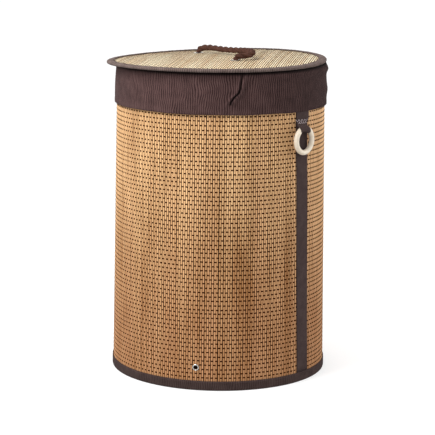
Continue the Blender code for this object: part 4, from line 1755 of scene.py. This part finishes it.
@dataclass
class RopeHandle:
    """Twisted rope between the two holes, which lies on its side on the lid."""

    frame: LidFrame
    lid: Lid
    finishes: Finishes
    diameter: float = 10 * MM
    strand_radius: float = 3.15 * MM
    lay: float = 44 * MM
    pivot_rise: float = 6.7 * MM
    per_span: int = 14
    route: tuple[tuple[float, float, float], ...] = (
        (-85, 0, 0), (-88, -11, 0.6), (-89, -23, 1.2), (-86, -34, 3.0), (-75, -41, 5.0),
        (-58, -43.5, 5.9), (-34, -42, 5.3), (-8, -37, 4.1), (18, -29.5, 3.6), (44, -21, 4.4),
        (64, -13.5, 5.2), (78, -6.5, 3.8), (85, 0, 0),
    )

    def _line(self) -> list[Vector]:
        """Points close together along the rope's middle.

        Returns:
            The points in the model's frame.
        """
        raised = Vector((0, 0, self.lid.hole(1).z + self.pivot_rise))
        turn = Matrix.Rotation(self.lid.hole_heading, 4, "Z")
        matrix = self.frame.matrix() @ Matrix.Translation(raised) @ turn
        knots = [matrix @ (Vector(point) * MM) for point in self.route]
        line = []
        for index in range(len(knots) - 1):
            before = knots[max(index - 1, 0)]
            start, end = knots[index], knots[index + 1]
            after = knots[min(index + 2, len(knots) - 1)]
            for step in range(self.per_span):
                t = step / self.per_span
                line.append(
                    start * (2 * t**3 - 3 * t**2 + 1)
                    + (end - before) / 2 * (t**3 - 2 * t**2 + t)
                    + end * (3 * t**2 - 2 * t**3)
                    + (after - start) / 2 * (t**3 - t**2)
                )
        line.append(knots[-1])
        return line

    def build(self) -> None:
        """Makes the rope as three strands wound round its middle line."""
        line = self._line()
        curve = bpy.data.curves.new("rope_strands", "CURVE")
        curve.dimensions = "3D"
        curve.bevel_depth = self.strand_radius
        curve.bevel_resolution = 3
        curve.use_fill_caps = True
        frames = list(self._frames(line))
        away = self.diameter / 2 - self.strand_radius * 0.72
        total = frames[-1][0]
        for strand in range(3):
            spline = curve.splines.new("POLY")
            spline.points.add(len(frames) - 1)
            for target, (travelled, point, side, up) in zip(spline.points, frames):
                angle = 2 * math.pi * (travelled / self.lay + strand / 3)
                near_end = min(travelled, total - travelled) / (4 * MM)
                share = 0.35 + 0.65 * ease(near_end)
                place = point + (side * math.cos(angle) + up * math.sin(angle)) * away * share
                target.co = (*place, 1)
                target.radius = 0.8 + 0.2 * ease(near_end)
        carrier = bpy.data.objects.new("rope_curve", curve)
        bpy.context.scene.collection.objects.link(carrier)
        bpy.context.view_layer.update()
        mesh = bpy.data.meshes.new_from_object(carrier)
        bpy.data.objects.remove(carrier)
        bm = bmesh.new()
        bm.from_mesh(mesh)
        bpy.data.meshes.remove(mesh)
        rope = add_piece("rope", bm, self.finishes.rope, Body.ROPE, Slot.ROPE, ["handle_rope"], 60)
        tuple(line[0])
        [tuple(point) for point in line]

    @staticmethod
    def _frames(line: list[Vector]) -> Iterator[tuple[float, Vector, Vector, Vector]]:
        """Carries a cross frame along a line without twisting it.

        Args:
            line: The line's points.

        Yields:
            The distance travelled, the point, and two directions across the line.
        """
        side = Vector((0, 0, 1)).cross(line[1] - line[0]).normalized()
        travelled = 0.0
        for index, point in enumerate(line):
            ahead = line[min(index + 1, len(line) - 1)] - line[max(index - 1, 0)]
            ahead.normalize()
            side = (side - ahead * side.dot(ahead)).normalized()
            if index:
                travelled += (point - line[index - 1]).length
            yield travelled, point, side, ahead.cross(side)


@dataclass
class Studio:
    """Camera, lights and the pale floor."""

    azimuth: float = math.radians(41)
    pitch: float = 0.1915
    roll: float = 0.0109
    place: tuple[float, float, float] = (2.1466, -2.4751, 0.9265)
    lens: float = 140.62

    def camera(self) -> None:
        """Sets up the camera."""
        data = bpy.data.cameras.new("camera")
        data.lens, data.sensor_width = self.lens, 36.0
        data.clip_start, data.clip_end = 0.05, 60.0
        camera = bpy.data.objects.new("camera", data)
        turn = Matrix.Rotation(self.azimuth, 4, "Z")
        turn = turn @ Matrix.Rotation(math.pi / 2 - self.pitch, 4, "X")
        turn = turn @ Matrix.Rotation(self.roll, 4, "Z")
        camera.matrix_world = Matrix.Translation(self.place) @ turn
        bpy.context.scene.collection.objects.link(camera)
        bpy.context.scene.camera = camera

    def surroundings(self) -> None:
        """Makes the floor, the even light of the room and the lamps."""
        scene = bpy.context.scene
        scene.view_settings.view_transform = "Standard"
        scene.world = self._room()
        bm = grid(2, 2, 12)
        mesh = bpy.data.meshes.new("floor")
        bm.to_mesh(mesh)
        bm.free()
        floor = bpy.data.objects.new("floor", mesh)
        shader = Shader("floor_white", 0.9, Base_Color=(0.5, 0.5, 0.5, 1), Emission_Strength=0.52)
        seen = shader.add("ShaderNodeLightPath")
        glow = shader.mix(seen, (0.12, 0.12, 0.12), (1.0, 1.0, 1.0))
        shader.tree.links.new(glow.socket, shader.end.inputs["Emission Color"])
        mesh.materials.append(shader.material)
        scene.collection.objects.link(floor)
        self._lamp("key", (-0.14, -1.1, 1.6), 22, 0.7)
        self._lamp("side", (1.15, 1.27, 0.75), 13, 0.8)

    @staticmethod
    def _room() -> bpy.types.World:
        """Makes the even light of the room, weaker on the right.

        Returns:
            The world.
        """
        world = bpy.data.worlds.new("room")
        world.use_nodes = True
        tree = world.node_tree
        where = tree.nodes.new("ShaderNodeTexCoord")
        toward = tree.nodes.new("ShaderNodeVectorMath")
        toward.operation = "DOT_PRODUCT"
        toward.inputs[1].default_value = (-0.7547, -0.6561, 0)
        tree.links.new(where.outputs["Generated"], toward.inputs[0])
        spread = tree.nodes.new("ShaderNodeMapRange")
        spread.inputs["From Min"].default_value = -1
        spread.inputs["To Min"].default_value = 0.6
        spread.inputs["To Max"].default_value = 1.38
        tree.links.new(toward.outputs["Value"], spread.inputs["Value"])
        tree.links.new(spread.outputs["Result"], tree.nodes["Background"].inputs["Strength"])
        tree.nodes["Background"].inputs["Color"].default_value = (1, 1, 1, 1)
        return world

    @staticmethod
    def _lamp(name: str, place: tuple[float, float, float], power: float, size: float) -> None:
        """Adds a soft square lamp aimed at the hamper.

        Args:
            name: Its name.
            place: Where it is.
            power: Its power in watts.
            size: Its side.
        """
        data = bpy.data.lights.new(name, "AREA")
        data.energy, data.size = power, size
        lamp = bpy.data.objects.new(name, data)
        aim = Vector((0, 0, 0.32)) - Vector(place)
        turn = aim.to_track_quat("-Z", "Y").to_matrix().to_4x4()
        lamp.matrix_world = Matrix.Translation(place) @ turn
        bpy.context.scene.collection.objects.link(lamp)


def main() -> None:
    """Builds the hamper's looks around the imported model."""
    logging.basicConfig(level=logging.INFO, format="%(message)s")
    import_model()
    studio = Studio()
    studio.camera()
    wall, frame, weave = Wall(), LidFrame(), Weave()
    finishes = Finishes(math.radians(123))
    lid = Lid(frame, finishes, weave)
    RopeHandle(frame, lid, finishes).build()
    lid.build()
    WallMats(wall, finishes, weave).build()
    WallTrim(wall, finishes).build()
    Floor(wall, finishes).build()
    Liner(wall, finishes, frame).build()
    RingStrap(wall, finishes, "right", Body.RING_RIGHT, 0.0).build()
    RingStrap(wall, finishes, "left", Body.RING_LEFT, math.pi).build()
    studio.surroundings()


if __name__ == "__main__":
    main()
